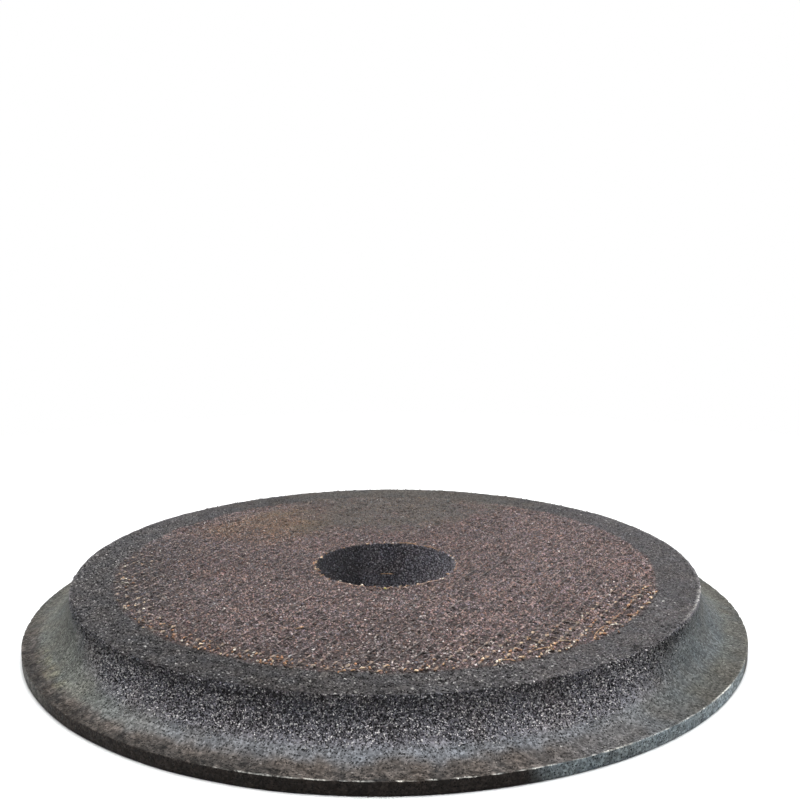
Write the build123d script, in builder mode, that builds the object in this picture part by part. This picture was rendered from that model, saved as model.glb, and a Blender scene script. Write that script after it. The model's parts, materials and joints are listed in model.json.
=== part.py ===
"""Profiling disc for shaping stone edges: a moulded abrasive body with a glass-fibre net in its front face.

The origin is the centre of the flat back face and +Z runs along the bore towards the front face.
All sizes are in millimetres.
"""

import math
import os

from build123d import *

os.makedirs("parts", exist_ok=True)

# Abrasive body
outer_diameter = 250.0
bore_diameter = 50.0
rim_height = 4.2  # straight outer wall below the cove
cove_radius = 15.0  # hollow quarter round that gives the stone its rounded edge
cove_lip = 0.7  # flat land on the rim, outside the cove
face_wall = 0.8  # short upright wall between the cove and the front face
face_edge_radius = 0.4
rim_edge_radius = 0.3
back_edge_radius = 0.5
bore_edge_chamfer = 0.3

# Glass-fibre net in the front face
net_margin = 14.3  # bare ring between the net and the edge of the front face
net_clearance = 0.2  # round the net, at the wall of its seat and at the bore
yarn_width = 0.7
yarn_thickness = 0.25
lower_yarn_pitch = 4.65
upper_yarn_pitch = 4.47
lower_yarn_angle = 151.5  # degrees from +X to the yarns that lie on the seat
upper_yarn_angle = 61.0  # degrees from +X to the yarns that cross over them

outer_radius = outer_diameter / 2
bore_radius = bore_diameter / 2
cove_foot_radius = outer_radius - cove_lip
face_radius = cove_foot_radius - cove_radius
cove_top = rim_height + cove_radius
total_height = cove_top + face_wall

net_thickness = 2 * yarn_thickness
seat_floor = total_height - net_thickness
net_radius = face_radius - net_margin
net_bore_radius = bore_radius + net_clearance
seat_radius = net_radius + net_clearance
crossing_height = seat_floor + yarn_thickness

# An edge is never rounded by more than half of the narrow wall or land beside it
safe_share = 0.45
face_edge = min(face_edge_radius, safe_share * face_wall)
rim_edge = min(rim_edge_radius, safe_share * cove_lip)


with BuildPart() as abrasive_body:
    with BuildSketch(Plane.XZ):
        with BuildLine():
            Polyline(
                (cove_foot_radius, rim_height),
                (outer_radius, rim_height),
                (outer_radius, 0),
                (0, 0),
                (0, total_height),
                (face_radius, total_height),
                (face_radius, cove_top),
            )
            CenterArc((cove_foot_radius, cove_top), cove_radius, 180, 90)
        make_face()
    revolve(axis=Axis.Z)

    with BuildSketch(Plane.XY.offset(total_height)):
        Circle(seat_radius)
    extrude(amount=-net_thickness, mode=Mode.SUBTRACT)

    Hole(bore_radius)

    circles = abrasive_body.edges().filter_by(GeomType.CIRCLE)
    front_edge = circles.group_by(Axis.Z)[-1].sort_by(SortBy.RADIUS)[-1]
    back_circles = circles.group_by(Axis.Z)[0].sort_by(SortBy.RADIUS)
    bore_edge, back_edge = back_circles[0], back_circles[-1]
    rim_top_edge = circles.filter_by(lambda e: abs(e.radius - outer_radius) < 1e-6).sort_by(Axis.Z)[-1]
    fillet(front_edge, radius=face_edge)
    fillet(rim_top_edge, radius=rim_edge)
    fillet(back_edge, radius=back_edge_radius)
    chamfer(bore_edge, length=bore_edge_chamfer)


def yarn_plane(angle, height):
    """Plane at a height, with its X axis along yarns that run at an angle."""
    direction = (math.cos(math.radians(angle)), math.sin(math.radians(angle)), 0)
    return Plane(origin=(0, 0, height), x_dir=direction, z_dir=(0, 0, 1))


def yarn_layer(angle, height, pitch):
    """One layer of parallel flat yarns, trimmed to the net's round outline and to its bore."""
    per_side = int((net_radius - yarn_width) / pitch)
    with BuildPart() as layer:
        with BuildSketch(yarn_plane(angle, height)):
            with GridLocations(0, pitch, 1, 2 * per_side + 1):
                Rectangle(2 * net_radius, yarn_width)
            Circle(net_radius, mode=Mode.INTERSECT)
            Circle(net_bore_radius, mode=Mode.SUBTRACT)
        extrude(amount=yarn_thickness)
    return layer.part.solids()


# The yarns stay separate solids: the upper ones only rest on the lower ones
lower_yarns = yarn_layer(lower_yarn_angle, seat_floor, lower_yarn_pitch)
upper_yarns = yarn_layer(upper_yarn_angle, crossing_height, upper_yarn_pitch)
face_net = Compound([*lower_yarns, *upper_yarns])

abrasive_body.part.label = "abrasive_body"
face_net.label = "face_net"

export_step(abrasive_body.part, "parts/abrasive_body.step")
export_step(face_net, "parts/face_net.step")
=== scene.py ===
"""Looks of a stone edge profiling disc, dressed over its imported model.

The disc is one moulding of silicon carbide grit and resin with a woven glass-fibre net in its front face.
Here the moulding is a finely divided turned shell with pits and chipped edges, grit crystals stand in it
one by one, and the net is made yarn by yarn, with frayed ends. Lengths are in metres, in the frame of the
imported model: the origin is the centre of the back face and +Z runs along the bore to the front face.
Bearings are in degrees from +X towards +Y, so that 270 is the side that faces the camera.
"""

from __future__ import annotations

import itertools
import json
import logging
import math
from dataclasses import dataclass
from enum import Enum
from typing import Callable

import bmesh
import bpy
import numpy as np
from mathutils import Euler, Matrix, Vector


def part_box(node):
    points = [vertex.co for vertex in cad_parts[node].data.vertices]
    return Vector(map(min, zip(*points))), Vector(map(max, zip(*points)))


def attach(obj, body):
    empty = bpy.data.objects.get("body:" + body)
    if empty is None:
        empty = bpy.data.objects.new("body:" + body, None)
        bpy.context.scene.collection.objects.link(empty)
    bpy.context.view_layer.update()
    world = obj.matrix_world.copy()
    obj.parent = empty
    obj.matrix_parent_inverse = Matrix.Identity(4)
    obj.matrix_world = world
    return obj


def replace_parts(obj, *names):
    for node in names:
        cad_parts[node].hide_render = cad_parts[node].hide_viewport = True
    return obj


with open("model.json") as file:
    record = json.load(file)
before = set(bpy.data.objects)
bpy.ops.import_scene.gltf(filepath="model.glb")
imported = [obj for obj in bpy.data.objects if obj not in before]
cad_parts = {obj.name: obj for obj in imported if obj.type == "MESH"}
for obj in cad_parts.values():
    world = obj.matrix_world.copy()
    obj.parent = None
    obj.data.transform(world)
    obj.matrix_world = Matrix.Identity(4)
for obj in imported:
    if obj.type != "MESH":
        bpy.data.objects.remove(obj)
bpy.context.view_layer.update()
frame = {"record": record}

LOG = logging.getLogger("profiling_disc")
MM = 0.001
TURN = 2 * math.pi
MAP_NAME = "OFBake"

AXIS_PRIMES = (73856093, 19349663, 83492791)
SEED_PRIME = 26544357
SCRAMBLES = ((15, 2246822519), (13, 3266489917))
HASH_BITS = 24
CLOUD_GAIN = 2.6

Array = np.ndarray
Colour = tuple[float, float, float]
Span = tuple[float, float, float]


def srgb(red: int, green: int, blue: int) -> Colour:
    """Turn a colour on the usual 0 to 255 scale into linear light.

    Args:
        red, green, blue: The three parts of the colour.

    Returns:
        The linear colour.
    """
    parts = np.array((red, green, blue)) / 255
    return tuple(np.where(parts <= 0.04045, parts / 12.92, ((parts + 0.055) / 1.055) ** 2.4).tolist())


def ramp(value: Array, low: float, high: float) -> Array:
    """Rise smoothly from 0 at one value to 1 at another, which may be the smaller one."""
    share = np.clip((value - low) / (high - low), 0, 1)
    return share * share * (3 - 2 * share)


def hump(value: Array, low: float, high: float, blur: float) -> Array:
    """Be 1 between two values and fall smoothly to 0 over a blur outside them."""
    return ramp(value, low - blur, low) * ramp(value, high + blur, high)


def sector(angle: Array | float, first: float, last: float, blur: float) -> Array:
    """Be 1 in a sector of the disc and fall smoothly to 0 outside it.

    Args:
        angle: Plan angles in radians, from +X towards +Y.
        first: Degrees at which the sector starts.
        last: Degrees at which it ends, counted on from first.
        blur: Degrees over which it fades at either end.

    Returns:
        The share for each angle.
    """
    middle, half = (first + last) / 2, (last - first) / 2
    off = np.abs((np.degrees(angle) - middle + 180) % 360 - 180)
    return ramp(off, half + blur, half)


def plan_angle(points: Array) -> Array:
    """Give each point's plan angle in radians."""
    return np.arctan2(points[:, 1], points[:, 0])


def off_axis(points: Array) -> Array:
    """Give each point's distance from the disc's axis."""
    return np.hypot(points[:, 0], points[:, 1])


def hashed(cells: Array, seed: int) -> Array:
    """Give each whole-number cell of space its own value between 0 and 1.

    Args:
        cells: Whole-number places, one row for each cell.
        seed: Picks one of many such sets of values.

    Returns:
        One value for each row.
    """
    mixed = np.uint32(seed * SEED_PRIME % 2**32)
    for axis, prime in enumerate(AXIS_PRIMES):
        mixed = mixed ^ cells[..., axis].astype(np.int64).astype(np.uint32) * np.uint32(prime)
    for shift, factor in SCRAMBLES:
        mixed = (mixed ^ (mixed >> np.uint32(shift))) * np.uint32(factor)
    return (mixed >> np.uint32(32 - HASH_BITS)) / 2**HASH_BITS


def clouds(points: Array, lump: float, seed: int) -> Array:
    """Read a smooth random field that swings between about -1 and 1.

    Args:
        points: Places in metres, one row each.
        lump: Width of one lump of the field, in millimetres.
        seed: Picks one of many such fields.

    Returns:
        The field's value at each place.
    """
    scaled = points / (lump * MM)
    cell = np.floor(scaled)
    share = scaled - cell
    share = share * share * (3 - 2 * share)
    total = np.zeros(len(points))
    for corner in itertools.product((0, 1), repeat=3):
        weight = np.prod(np.where(corner, share, 1 - share), axis=1)
        total += weight * hashed(cell + corner, seed)
    return np.clip(CLOUD_GAIN * (total - 0.5), -1, 1)


class Zone(Enum):
    """Stretches of the disc's half section, in the order in which it is walked."""

    BORE = "bore"
    BORE_EDGE = "bore_edge"
    FACE = "face"
    FACE_EDGE = "face_edge"
    WALL = "wall"
    COVE = "cove"
    LIP = "lip"
    RIM_EDGE = "rim_edge"
    RIM = "rim"
    BACK_EDGE = "back_edge"
    BACK = "back"


@dataclass(frozen=True)
class DiscSizes:
    """Sizes of the disc in metres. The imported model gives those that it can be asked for."""

    outer_radius: float
    bore_radius: float
    height: float
    net_radius: float
    seat_floor: float
    rim_height: float = 4.2 * MM
    cove_radius: float = 15.0 * MM
    cove_lip: float = 0.7 * MM
    bore_round: float = 0.45 * MM
    face_round: float = 0.4 * MM
    rim_round: float = 0.3 * MM
    back_round: float = 0.5 * MM
    lower_yarn_angle: float = 151.5
    lower_yarn_pitch: float = 4.65 * MM
    upper_yarn_angle: float = 61.0
    upper_yarn_pitch: float = 4.47 * MM

    @classmethod
    def from_frame(cls) -> DiscSizes:
        """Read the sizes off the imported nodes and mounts.

        Returns:
            The disc's sizes.
        """
        body_low, body_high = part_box("abrasive_body")
        net_low, net_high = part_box("face_net")
        mounts = {mount["name"]: mount for mount in frame["record"]["mounts"]}
        return cls(
            outer_radius=(body_high.x - body_low.x) / 2,
            bore_radius=mounts["bore"]["dims"]["r_mm"] * MM,
            height=body_high.z,
            net_radius=(net_high.x - net_low.x) / 2,
            seat_floor=net_low.z,
        )

    @property
    def cove_top(self) -> float:
        """Height at which the cove meets the short wall under the face."""
        return self.rim_height + self.cove_radius

    @property
    def cove_foot_radius(self) -> float:
        """Radius at which the cove meets the flat lip of the rim."""
        return self.outer_radius - self.cove_lip

    @property
    def face_radius(self) -> float:
        """Outer radius of the front face."""
        return self.cove_foot_radius - self.cove_radius


@dataclass(frozen=True)
class Stretch:
    """One straight or round stretch of the half section, as (radius, height) points."""

    zone: Zone
    start: tuple[float, float]
    end: tuple[float, float]
    centre: tuple[float, float] | None = None

    def _turn(self) -> tuple[float, float, float]:
        """Give the radius, the first angle and the signed sweep of a round stretch.

        Returns:
            Radius, first angle and sweep, the angles in radians.
        """
        first = np.subtract(self.start, self.centre)
        last = np.subtract(self.end, self.centre)
        begin = math.atan2(first[1], first[0])
        sweep = (math.atan2(last[1], last[0]) - begin + math.pi) % TURN - math.pi
        return float(np.hypot(*first)), begin, sweep

    @property
    def length(self) -> float:
        """Length of the stretch along the section.

        Returns:
            The length in metres.
        """
        if self.centre is None:
            return math.dist(self.start, self.end)
        radius, _, sweep = self._turn()
        return radius * abs(sweep)

    def at(self, walked: Array) -> tuple[Array, Array]:
        """Find points on the stretch and which way is out of the solid there.

        Args:
            walked: Distances from the stretch's start.

        Returns:
            Points and outward directions, each a row of radius and height.
        """
        if self.centre is None:
            heading = np.subtract(self.end, self.start) / self.length
            points = np.array(self.start) + walked[:, None] * heading
            headings = np.broadcast_to(heading, points.shape)
        else:
            radius, begin, sweep = self._turn()
            bearing = begin + walked / self.length * sweep
            points = np.array(self.centre) + radius * np.stack((np.cos(bearing), np.sin(bearing)), 1)
            headings = math.copysign(1, sweep) * np.stack((-np.sin(bearing), np.cos(bearing)), 1)
        return points, np.stack((-headings[:, 1], headings[:, 0]), 1)


class Section:
    """The disc's half section, walked from the foot of the bore over the face to the back."""

    def __init__(self, sizes: DiscSizes) -> None:
        """Lay out the stretches for these sizes.

        Args:
            sizes: The disc's sizes.
        """
        s = sizes
        face_shoulder = s.face_radius - s.face_round
        rim_shoulder = s.outer_radius - s.rim_round
        back_shoulder = s.outer_radius - s.back_round
        self.bore_shoulder = s.bore_radius + s.bore_round
        bore_top, face_foot = s.height - s.bore_round, s.height - s.face_round
        rim_top = s.rim_height - s.rim_round
        ends = (
            (Zone.BORE, (s.bore_radius, bore_top), None),
            (Zone.BORE_EDGE, (self.bore_shoulder, s.height), (self.bore_shoulder, bore_top)),
            (Zone.FACE, (face_shoulder, s.height), None),
            (Zone.FACE_EDGE, (s.face_radius, face_foot), (face_shoulder, face_foot)),
            (Zone.WALL, (s.face_radius, s.cove_top), None),
            (Zone.COVE, (s.cove_foot_radius, s.rim_height), (s.cove_foot_radius, s.cove_top)),
            (Zone.LIP, (rim_shoulder, s.rim_height), None),
            (Zone.RIM_EDGE, (s.outer_radius, rim_top), (rim_shoulder, rim_top)),
            (Zone.RIM, (s.outer_radius, s.back_round), None),
            (Zone.BACK_EDGE, (back_shoulder, 0.0), (back_shoulder, s.back_round)),
            (Zone.BACK, (s.bore_radius, 0.0), None),
        )
        start = (s.bore_radius, 0.0)
        self.stretches: list[Stretch] = []
        for zone, end, centre in ends:
            self.stretches.append(Stretch(zone, start, end, centre))
            start = end
        lengths = [stretch.length for stretch in self.stretches]
        self.starts = np.concatenate(((0.0,), np.cumsum(lengths)))

    def reach(self, zone: Zone) -> tuple[float, float]:
        """Give the distances walked at which a zone starts and ends."""
        index = [stretch.zone for stretch in self.stretches].index(zone)
        return float(self.starts[index]), float(self.starts[index + 1])

    def cove_share(self, walked: Array) -> Array:
        """Give how far down the cove each place lies, from 0 at its top to 1 at its foot."""
        start, end = self.reach(Zone.COVE)
        return (walked - start) / (end - start)

    def on_face(self, walked: Array) -> Array:
        """Give the share to which each place lies on the front face."""
        return hump(walked, *self.reach(Zone.FACE), 0.3 * MM)

    def place(self, walked: Array, angle: Array) -> tuple[Array, Array]:
        """Find points of the disc's surface.

        Args:
            walked: Distances along the section.
            angle: Plan angles in radians.

        Returns:
            Points and outward normals in space, one row each.
        """
        flat, out = np.zeros((len(walked), 2)), np.zeros((len(walked), 2))
        index = np.clip(np.searchsorted(self.starts, walked, "right") - 1, 0, len(self.stretches) - 1)
        for number, stretch in enumerate(self.stretches):
            here = index == number
            if here.any():
                flat[here], out[here] = stretch.at(walked[here] - self.starts[number])
        cos, sin = np.cos(angle), np.sin(angle)
        points = np.stack((flat[:, 0] * cos, flat[:, 0] * sin, flat[:, 1]), 1)
        normals = np.stack((out[:, 0] * cos, out[:, 0] * sin, out[:, 1]), 1)
        return points, normals

    def unrolled(self, walked: Array, angle: Array) -> Array:
        """Lay the surface out flat as one large ring, for a texture map.

        Args:
            walked: Distances along the section.
            angle: Plan angles in radians.

        Returns:
            Map coordinates from 0 to 1, one row each.
        """
        bore_end = self.reach(Zone.BORE_EDGE)[1]
        radius = self.bore_shoulder + walked - bore_end
        widest = self.bore_shoulder + self.reach(Zone.RIM)[1] - bore_end
        return 0.5 + 0.5 * (radius / widest)[:, None] * np.stack((np.cos(angle), np.sin(angle)), 1)


@dataclass(frozen=True)
class YarnLayer:
    """One layer of parallel yarns in the net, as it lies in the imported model."""

    angle: float
    pitch: float
    level: float

    def beside(self, points: Array) -> Array:
        """Give how far left of its nearest yarn's middle each point lies; to the right is less than 0.

        Args:
            points: Places in metres, one row each.

        Returns:
            One distance for each point.
        """
        turn = math.radians(self.angle)
        offset = -points[:, 0] * math.sin(turn) + points[:, 1] * math.cos(turn)
        return ((offset / self.pitch + 0.5) % 1 - 0.5) * self.pitch

    def across(self, points: Array) -> Array:
        """Give each point's distance from the middle of the nearest yarn of this layer."""
        return np.abs(self.beside(points))

    def snapped(self, x: float, y: float, beside: float) -> tuple[float, float]:
        """Move a place onto its nearest yarn, or a little beside it.

        Args:
            x: Where the place lies along X.
            y: Where the place lies along Y.
            beside: How far to the left of the yarn's middle it goes.

        Returns:
            The new place along X and Y.
        """
        turn = math.radians(self.angle)
        offset = -x * math.sin(turn) + y * math.cos(turn)
        shift = round(offset / self.pitch) * self.pitch + beside - offset
        return x - shift * math.sin(turn), y + shift * math.cos(turn)


@dataclass(frozen=True)
class PaintedShade:
    """A broad place of painted light, or of painted shade where its amount is less than 0.

    Its bearings are a first, a last and a blur in degrees. Its stretch is the same along a second measure,
    and None where it takes in the whole of it.
    """

    amount: float
    bearings: Span
    stretch: Span | None = None

    def at(self, angle: Array, along: Array) -> Array:
        """Give the amount at each place."""
        there = self.amount * sector(angle, *self.bearings)
        return there if self.stretch is None else there * hump(along, *self.stretch)


def painted_shading(shades: tuple[PaintedShade, ...], angle: Array, along: Array) -> Array:
    """Add up the painted light and shade that every entry gives at each place."""
    return sum(shade.at(angle, along) for shade in shades)


# Ends of a stretch that runs on past everything, outwards or inwards
OUTWARDS = 999.0
INWARDS = -99.0

# Painted light and shade over the whole face, by radius in millimetres
FACE_PAINTED_SHADES = (
    PaintedShade(0.30, (-60, 34, 30), (62, OUTWARDS, 37)),
    PaintedShade(0.14, (134, 166, 20)),
    PaintedShade(-0.10, (228, 252, 12), (88, OUTWARDS, 16)),
    PaintedShade(-0.10, (-12, 14, 12), (88, OUTWARDS, 16)),
)
# Painted light and shade on the net alone, by radius in millimetres
NET_PAINTED_SHADES = (
    PaintedShade(0.14, (205, 290, 20), (INWARDS, 70, 14)),
    PaintedShade(0.06, (205, 350, 20)),
)
# Painted light and shade on the bare ring round the net
MARGIN_PAINTED_SHADES = (
    PaintedShade(-0.30, (62, 118, 34)),
    PaintedShade(-0.18, (224, 260, 24)),
    PaintedShade(-0.10, (172, 190, 10)),
    PaintedShade(0.10, (-70, -20, 20)),
)
# Painted light and shade on the wall and the cove, by the share of the cove
COVE_PAINTED_SHADES = (
    PaintedShade(-0.26, (-40, 20, 20)),
    PaintedShade(-0.22, (165, 208, 14)),
    PaintedShade(-0.30, (158, 186, 12), (0.14, 0.5, 0.14)),
    PaintedShade(-0.22, (236, 300, 12), (INWARDS, 0.04, 0.12)),
    PaintedShade(-0.36, (196, 232, 10), (INWARDS, 0.02, 0.12)),
    PaintedShade(0.13, (246, 296, 8), (0.3, 0.62, 0.08)),
    PaintedShade(0.14, (212, 236, 10), (0.42, 0.7, 0.1)),
    PaintedShade(0.18, (306, 326, 10), (0.12, 0.3, 0.06)),
    PaintedShade(-0.14, (300, 322, 14), (0.7, OUTWARDS, 0.1)),
)
# Painted light and shade on the rim alone
RIM_PAINTED_SHADES = (
    PaintedShade(0.15, (-36, -24, 8)),
    PaintedShade(-0.06, (-60, -46, 8)),
    PaintedShade(0.16, (196, 216, 8)),
)


class Paint:
    """Colours of a set of places, laid one over another."""

    def __init__(self, ground: Colour, count: int) -> None:
        """Start with one colour all over."""
        self.colour = np.tile(ground, (count, 1))

    def lay(self, over: Colour, share: Array) -> None:
        """Blend a colour over what is there."""
        self.colour += share[:, None] * (np.array(over) - self.colour)


class Surface:
    """What lies where on the disc: covered, worn, frayed and open-grained places, and their colours with
    painted light and shade.
    """

    face_grey = srgb(86, 83, 84)
    net_mauve = srgb(136, 115, 112)
    cover_grey = srgb(92, 87, 82)
    patch_ochre = srgb(132, 106, 78)
    cove_grey = srgb(146, 143, 149)
    band_blue_with_sheen = srgb(107, 108, 111)
    lip_brown = srgb(80, 74, 70)
    foot_brown = srgb(53, 49, 46)
    stain_yellow = srgb(122, 117, 94)
    side_olive = srgb(94, 95, 90)
    slate_painted_light = srgb(98, 102, 104)
    rim_black_and_shade = srgb(43, 38, 35)
    rim_olive = srgb(95, 94, 90)
    rim_painted_light_blue = srgb(136, 145, 148)
    edge_white = srgb(214, 212, 204)
    bore_blue_and_painted_light = srgb(146, 143, 150)
    cut_pink = srgb(166, 132, 116)
    back_grey = srgb(92, 88, 88)
    void_shade_black = srgb(26, 24, 25)

    open_near: Span = (235, 300, 44)
    open_far: Span = (60, 120, 30)
    pit_depth = 0.40 * MM
    chip_depth = 0.55 * MM
    nick_depth = 0.22 * MM
    shell_sink = 0.32 * MM

    def __init__(self, sizes: DiscSizes, section: Section) -> None:
        """Keep the sizes and the section that the masks are measured on.

        Args:
            sizes: The disc's sizes.
            section: The disc's half section.
        """
        self.sizes = sizes
        self.section = section
        self.face_start, self.face_end = section.reach(Zone.FACE)
        self.cove_start, self.cove_end = section.reach(Zone.COVE)
        self.bore_end = section.reach(Zone.BORE_EDGE)[1]
        self.lip_end = section.reach(Zone.LIP)[1]
        self.back_start = section.reach(Zone.BACK)[0]
        thickness = sizes.height - sizes.seat_floor
        self.layers = (
            YarnLayer(sizes.lower_yarn_angle, sizes.lower_yarn_pitch, sizes.seat_floor + 0.25 * thickness),
            YarnLayer(sizes.upper_yarn_angle, sizes.upper_yarn_pitch, sizes.seat_floor + 0.75 * thickness),
        )

    def in_net(self, points: Array) -> Array:
        """Share of the net at each place: 1 inside its outline, 0 outside.

        Args:
            points: Places in metres, one row each.

        Returns:
            One share for each place.
        """
        edge = self.sizes.net_radius
        wander = 0.9 * MM * clouds(points, 6, 11)
        return ramp(off_axis(points) + wander, edge + 0.6 * MM, edge - 0.8 * MM)

    def cover(self, points: Array) -> Array:
        """Share to which the abrasive mix hides the net, mostly at the back of the face.

        Args:
            points: Places in metres, one row each.

        Returns:
            One share for each place.
        """
        broad = sector(plan_angle(points), 78, 106, 42) * ramp(off_axis(points), 28 * MM, 60 * MM)
        broken = broad + 0.30 * clouds(points, 16, 12) + 0.25 * clouds(points, 4, 13)
        return 0.85 * ramp(broken, 0.15, 1.0)

    def on_yarn(self, points: Array) -> Array:
        """Share to which a place lies over a yarn and not in a mesh.

        Args:
            points: Places in metres, one row each.

        Returns:
            One share for each place.
        """
        lower, upper = self.layers
        over_upper = ramp(upper.across(points), 0.95 * MM, 0.45 * MM)
        return np.maximum(over_upper, 0.75 * ramp(lower.across(points), 0.90 * MM, 0.40 * MM))

    def frayed(self, points: Array) -> Array:
        """Share of torn, pitted net near its outer edge on the near side.

        Args:
            points: Places in metres, one row each.

        Returns:
            One share for each place.
        """
        angle, radius = plan_angle(points), off_axis(points)
        edge = self.sizes.net_radius
        right = sector(angle, -66, -22, 12) * hump(radius, edge - 13 * MM, edge, 6 * MM)
        front = 0.85 * sector(angle, -150, -60, 12) * hump(radius, edge - 6 * MM, edge, 4 * MM)
        left = 0.55 * sector(angle, 176, 214, 10) * hump(radius, edge - 8 * MM, edge - 1 * MM, 4 * MM)
        mask = np.maximum(np.maximum(right, front), left)
        return np.clip(mask * (0.9 + 0.7 * clouds(points, 5, 14)), 0, 1)

    def pits(self, walked: Array, points: Array) -> Array:
        """Share of the small pits in the face, sunk and darkened with painted shade: lost crystals, corners
        of meshes and torn yarn.

        Args:
            walked: Distances along the section.
            points: Places in metres, one row each.

        Returns:
            One share for each place.
        """
        angle = plan_angle(points)
        net = self.in_net(points)
        in_front = sector(angle, 200, 325, 20)
        lost = ramp(clouds(points, 1.5, 18), 0.48, 0.68) * (0.35 + 0.45 * net)
        lost += 0.90 * in_front * (1 - net) * ramp(clouds(points, 1.3, 56), 0.40, 0.60)
        lower, upper = self.layers
        corner = hump(-upper.beside(points), 0.45 * MM, 1.45 * MM, 0.25 * MM)
        corner *= hump(lower.beside(points), 0.45 * MM, 1.7 * MM, 0.35 * MM)
        facing = 0.35 + 0.65 * sector(angle, 248, 350, 30) * ramp(off_axis(points), 28 * MM, 56 * MM)
        corner *= facing * net * (1 - self.cover(points)) * ramp(clouds(points, 5.5, 19), -0.55, -0.1)
        torn = 0.8 * (self.frayed(points) * ramp(clouds(points, 1.5, 21), 0.1, 0.6))
        return self.section.on_face(walked) * np.clip(np.maximum(np.maximum(lost, corner), torn), 0, 1)

    def openness(self, walked: Array, points: Array) -> Array:
        """Share to which the grain stands open, with voids between its crystals.

        Args:
            walked: Distances along the section.
            points: The plain places, one row each.

        Returns:
            1 where the grain is open, 0 where it lies under a smooth moulded skin.
        """
        angle = plan_angle(points)
        edge = 0.69 * sector(angle, *self.open_near) + 0.40 * sector(angle, *self.open_far) - 0.12
        edge = edge + 0.03 * clouds(points, 9, 15) + 0.05 * clouds(points, 2.2, 16)
        spread = sector(angle, 188, 226, 14) + sector(angle, 308, 338, 12)
        low_cove = ramp((self.section.cove_share(walked) - edge) / (1 + 0.9 * spread), 0.10, -0.14)
        on_face = 0.7 + 0.3 * self.in_net(points) - 0.45 * self.cover(points)
        on_face = np.where(walked < self.face_start, 0.8, on_face)
        return np.where(walked > self.face_end, np.where(walked > self.cove_end, 0.0, low_cove), on_face)

    def pores(self, walked: Array, points: Array) -> Array:
        """Share of the skin that is broken by single pores, darkened with painted shade, most beside the
        open grain.

        Args:
            walked: Distances along the section.
            points: Places in metres, one row each.

        Returns:
            One share for each place.
        """
        angle = plan_angle(points)
        share = self.section.cove_share(walked)
        edge = 0.67 * sector(angle, 225, 300, 44) + 0.40 * sector(angle, *self.open_far) - 0.06
        beside = ramp(share - edge + 0.04 * clouds(points, 8, 17), 0.34, 0.0)
        lip = 0.03 + 0.32 * sector(angle, 182, 300, 20)
        on_skin = np.maximum(0.04 + 0.50 * beside, lip * ramp(share, 0.6, 0.85))
        on_side = np.where(walked > self.cove_end, lip, on_skin)
        in_bore = walked < self.section.reach(Zone.BORE)[1]
        return np.where(walked > self.cove_start, on_side, np.where(in_bore, 0.08, 0.22))

    def relief(self, walked: Array, points: Array) -> Array:
        """Height of the surface over the plain section, along the outward normal.

        Args:
            walked: Distances along the section.
            points: The plain places, one row each.

        Returns:
            The offset at each place in metres.
        """
        rough = np.where(walked > self.face_end, 0.15 + 0.85 * self.openness(walked, points), 0.5)
        rough = np.where(walked > self.back_start, 0.2, rough)
        lumps = 0.10 * MM * clouds(points, 2.6, 22) + 0.08 * MM * clouds(points, 1.3, 23)
        broad = 0.06 * MM * clouds(points, 14, 24)
        near_edge = hump(walked, self.face_end, self.section.reach(Zone.WALL)[1], 0.6 * MM)
        facing = 0.2 + 0.8 * sector(plan_angle(points), 196, 325, 25)
        chip = self.chip_depth * near_edge * facing * ramp(clouds(points, 3.2, 25), 0.1, 0.8)
        rim_edge = hump(walked, self.lip_end, self.lip_end + self.sizes.rim_round * 1.5, 0.25 * MM)
        nick = self.nick_depth * rim_edge * ramp(clouds(points, 2.4, 26), 0.2, 0.8)
        return rough * lumps + broad - self.pit_depth * self.pits(walked, points) - chip - nick

    def net_chart(self, spots: Array) -> Array:
        """Give each point's place on the net's texture map, which looks straight down on it."""
        return 0.5 + spots[:, :2] / (2.1 * self.sizes.net_radius)

    def sink(self, walked: Array, points: Array) -> Array:
        """Depth to which the shell lies back under the crystals where the grain is open."""
        return self.shell_sink * self.openness(walked, points)

    def tint(self, walked: Array, points: Array) -> Array:
        """Broad colour of the surface, before its grain, with painted light and shade in it.

        Args:
            walked: Distances along the section.
            points: The places, one row each.

        Returns:
            A linear colour for each place.
        """
        on_rim = ramp(walked, self.lip_end, self.lip_end + 0.5 * MM)
        paint = Paint(self.face_grey, len(points))
        self._paint_face(paint, points)
        self._paint_cove(paint, walked, points)
        self._paint_rim(paint, walked, points, on_rim)
        self._paint_bore(paint, walked, points)
        mottle_and_painted_light = 1 + 0.10 * clouds(points, 8, 34) + 0.06 * clouds(points, 2.2, 35)
        # Painted light and shade of the face and of the sides, on top of the random mottle
        mottle_and_painted_light *= self._face_painted_light(walked, points) * self._side_painted_light(walked, points, on_rim)
        warmth = 0.03 * clouds(points, 5, 36)[:, None] * np.array((1.0, 0.0, -1.0))
        return paint.colour * (mottle_and_painted_light[:, None] + warmth)

    def _paint_face(self, paint: Paint, points: Array) -> None:
        """Lay the face's colours: mauve over the net, grey where the mix covers it, and an ochre patch.

        Args:
            paint: The colours so far, which it adds to.
            points: Places in metres, one row each.
        """
        angle, radius = plan_angle(points), off_axis(points)
        net = self.in_net(points)
        cloudy = 0.5 + 0.5 * clouds(points, 11, 31)
        dull = 0.55 * sector(angle, 166, 204, 16) * ramp(radius, 62 * MM, 82 * MM)
        paint.lay(self.net_mauve, net * (0.75 + 0.25 * cloudy) * (1 - dull))
        paint.lay(self.face_grey, 0.3 * net * (1 - self.on_yarn(points)))
        paint.lay(self.cover_grey, self.cover(points))
        patch = sector(angle, 122, 146, 14) * hump(radius, 56 * MM, 80 * MM, 12 * MM)
        paint.lay(self.patch_ochre, 0.5 * patch * (0.4 + 0.6 * cloudy))

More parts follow.
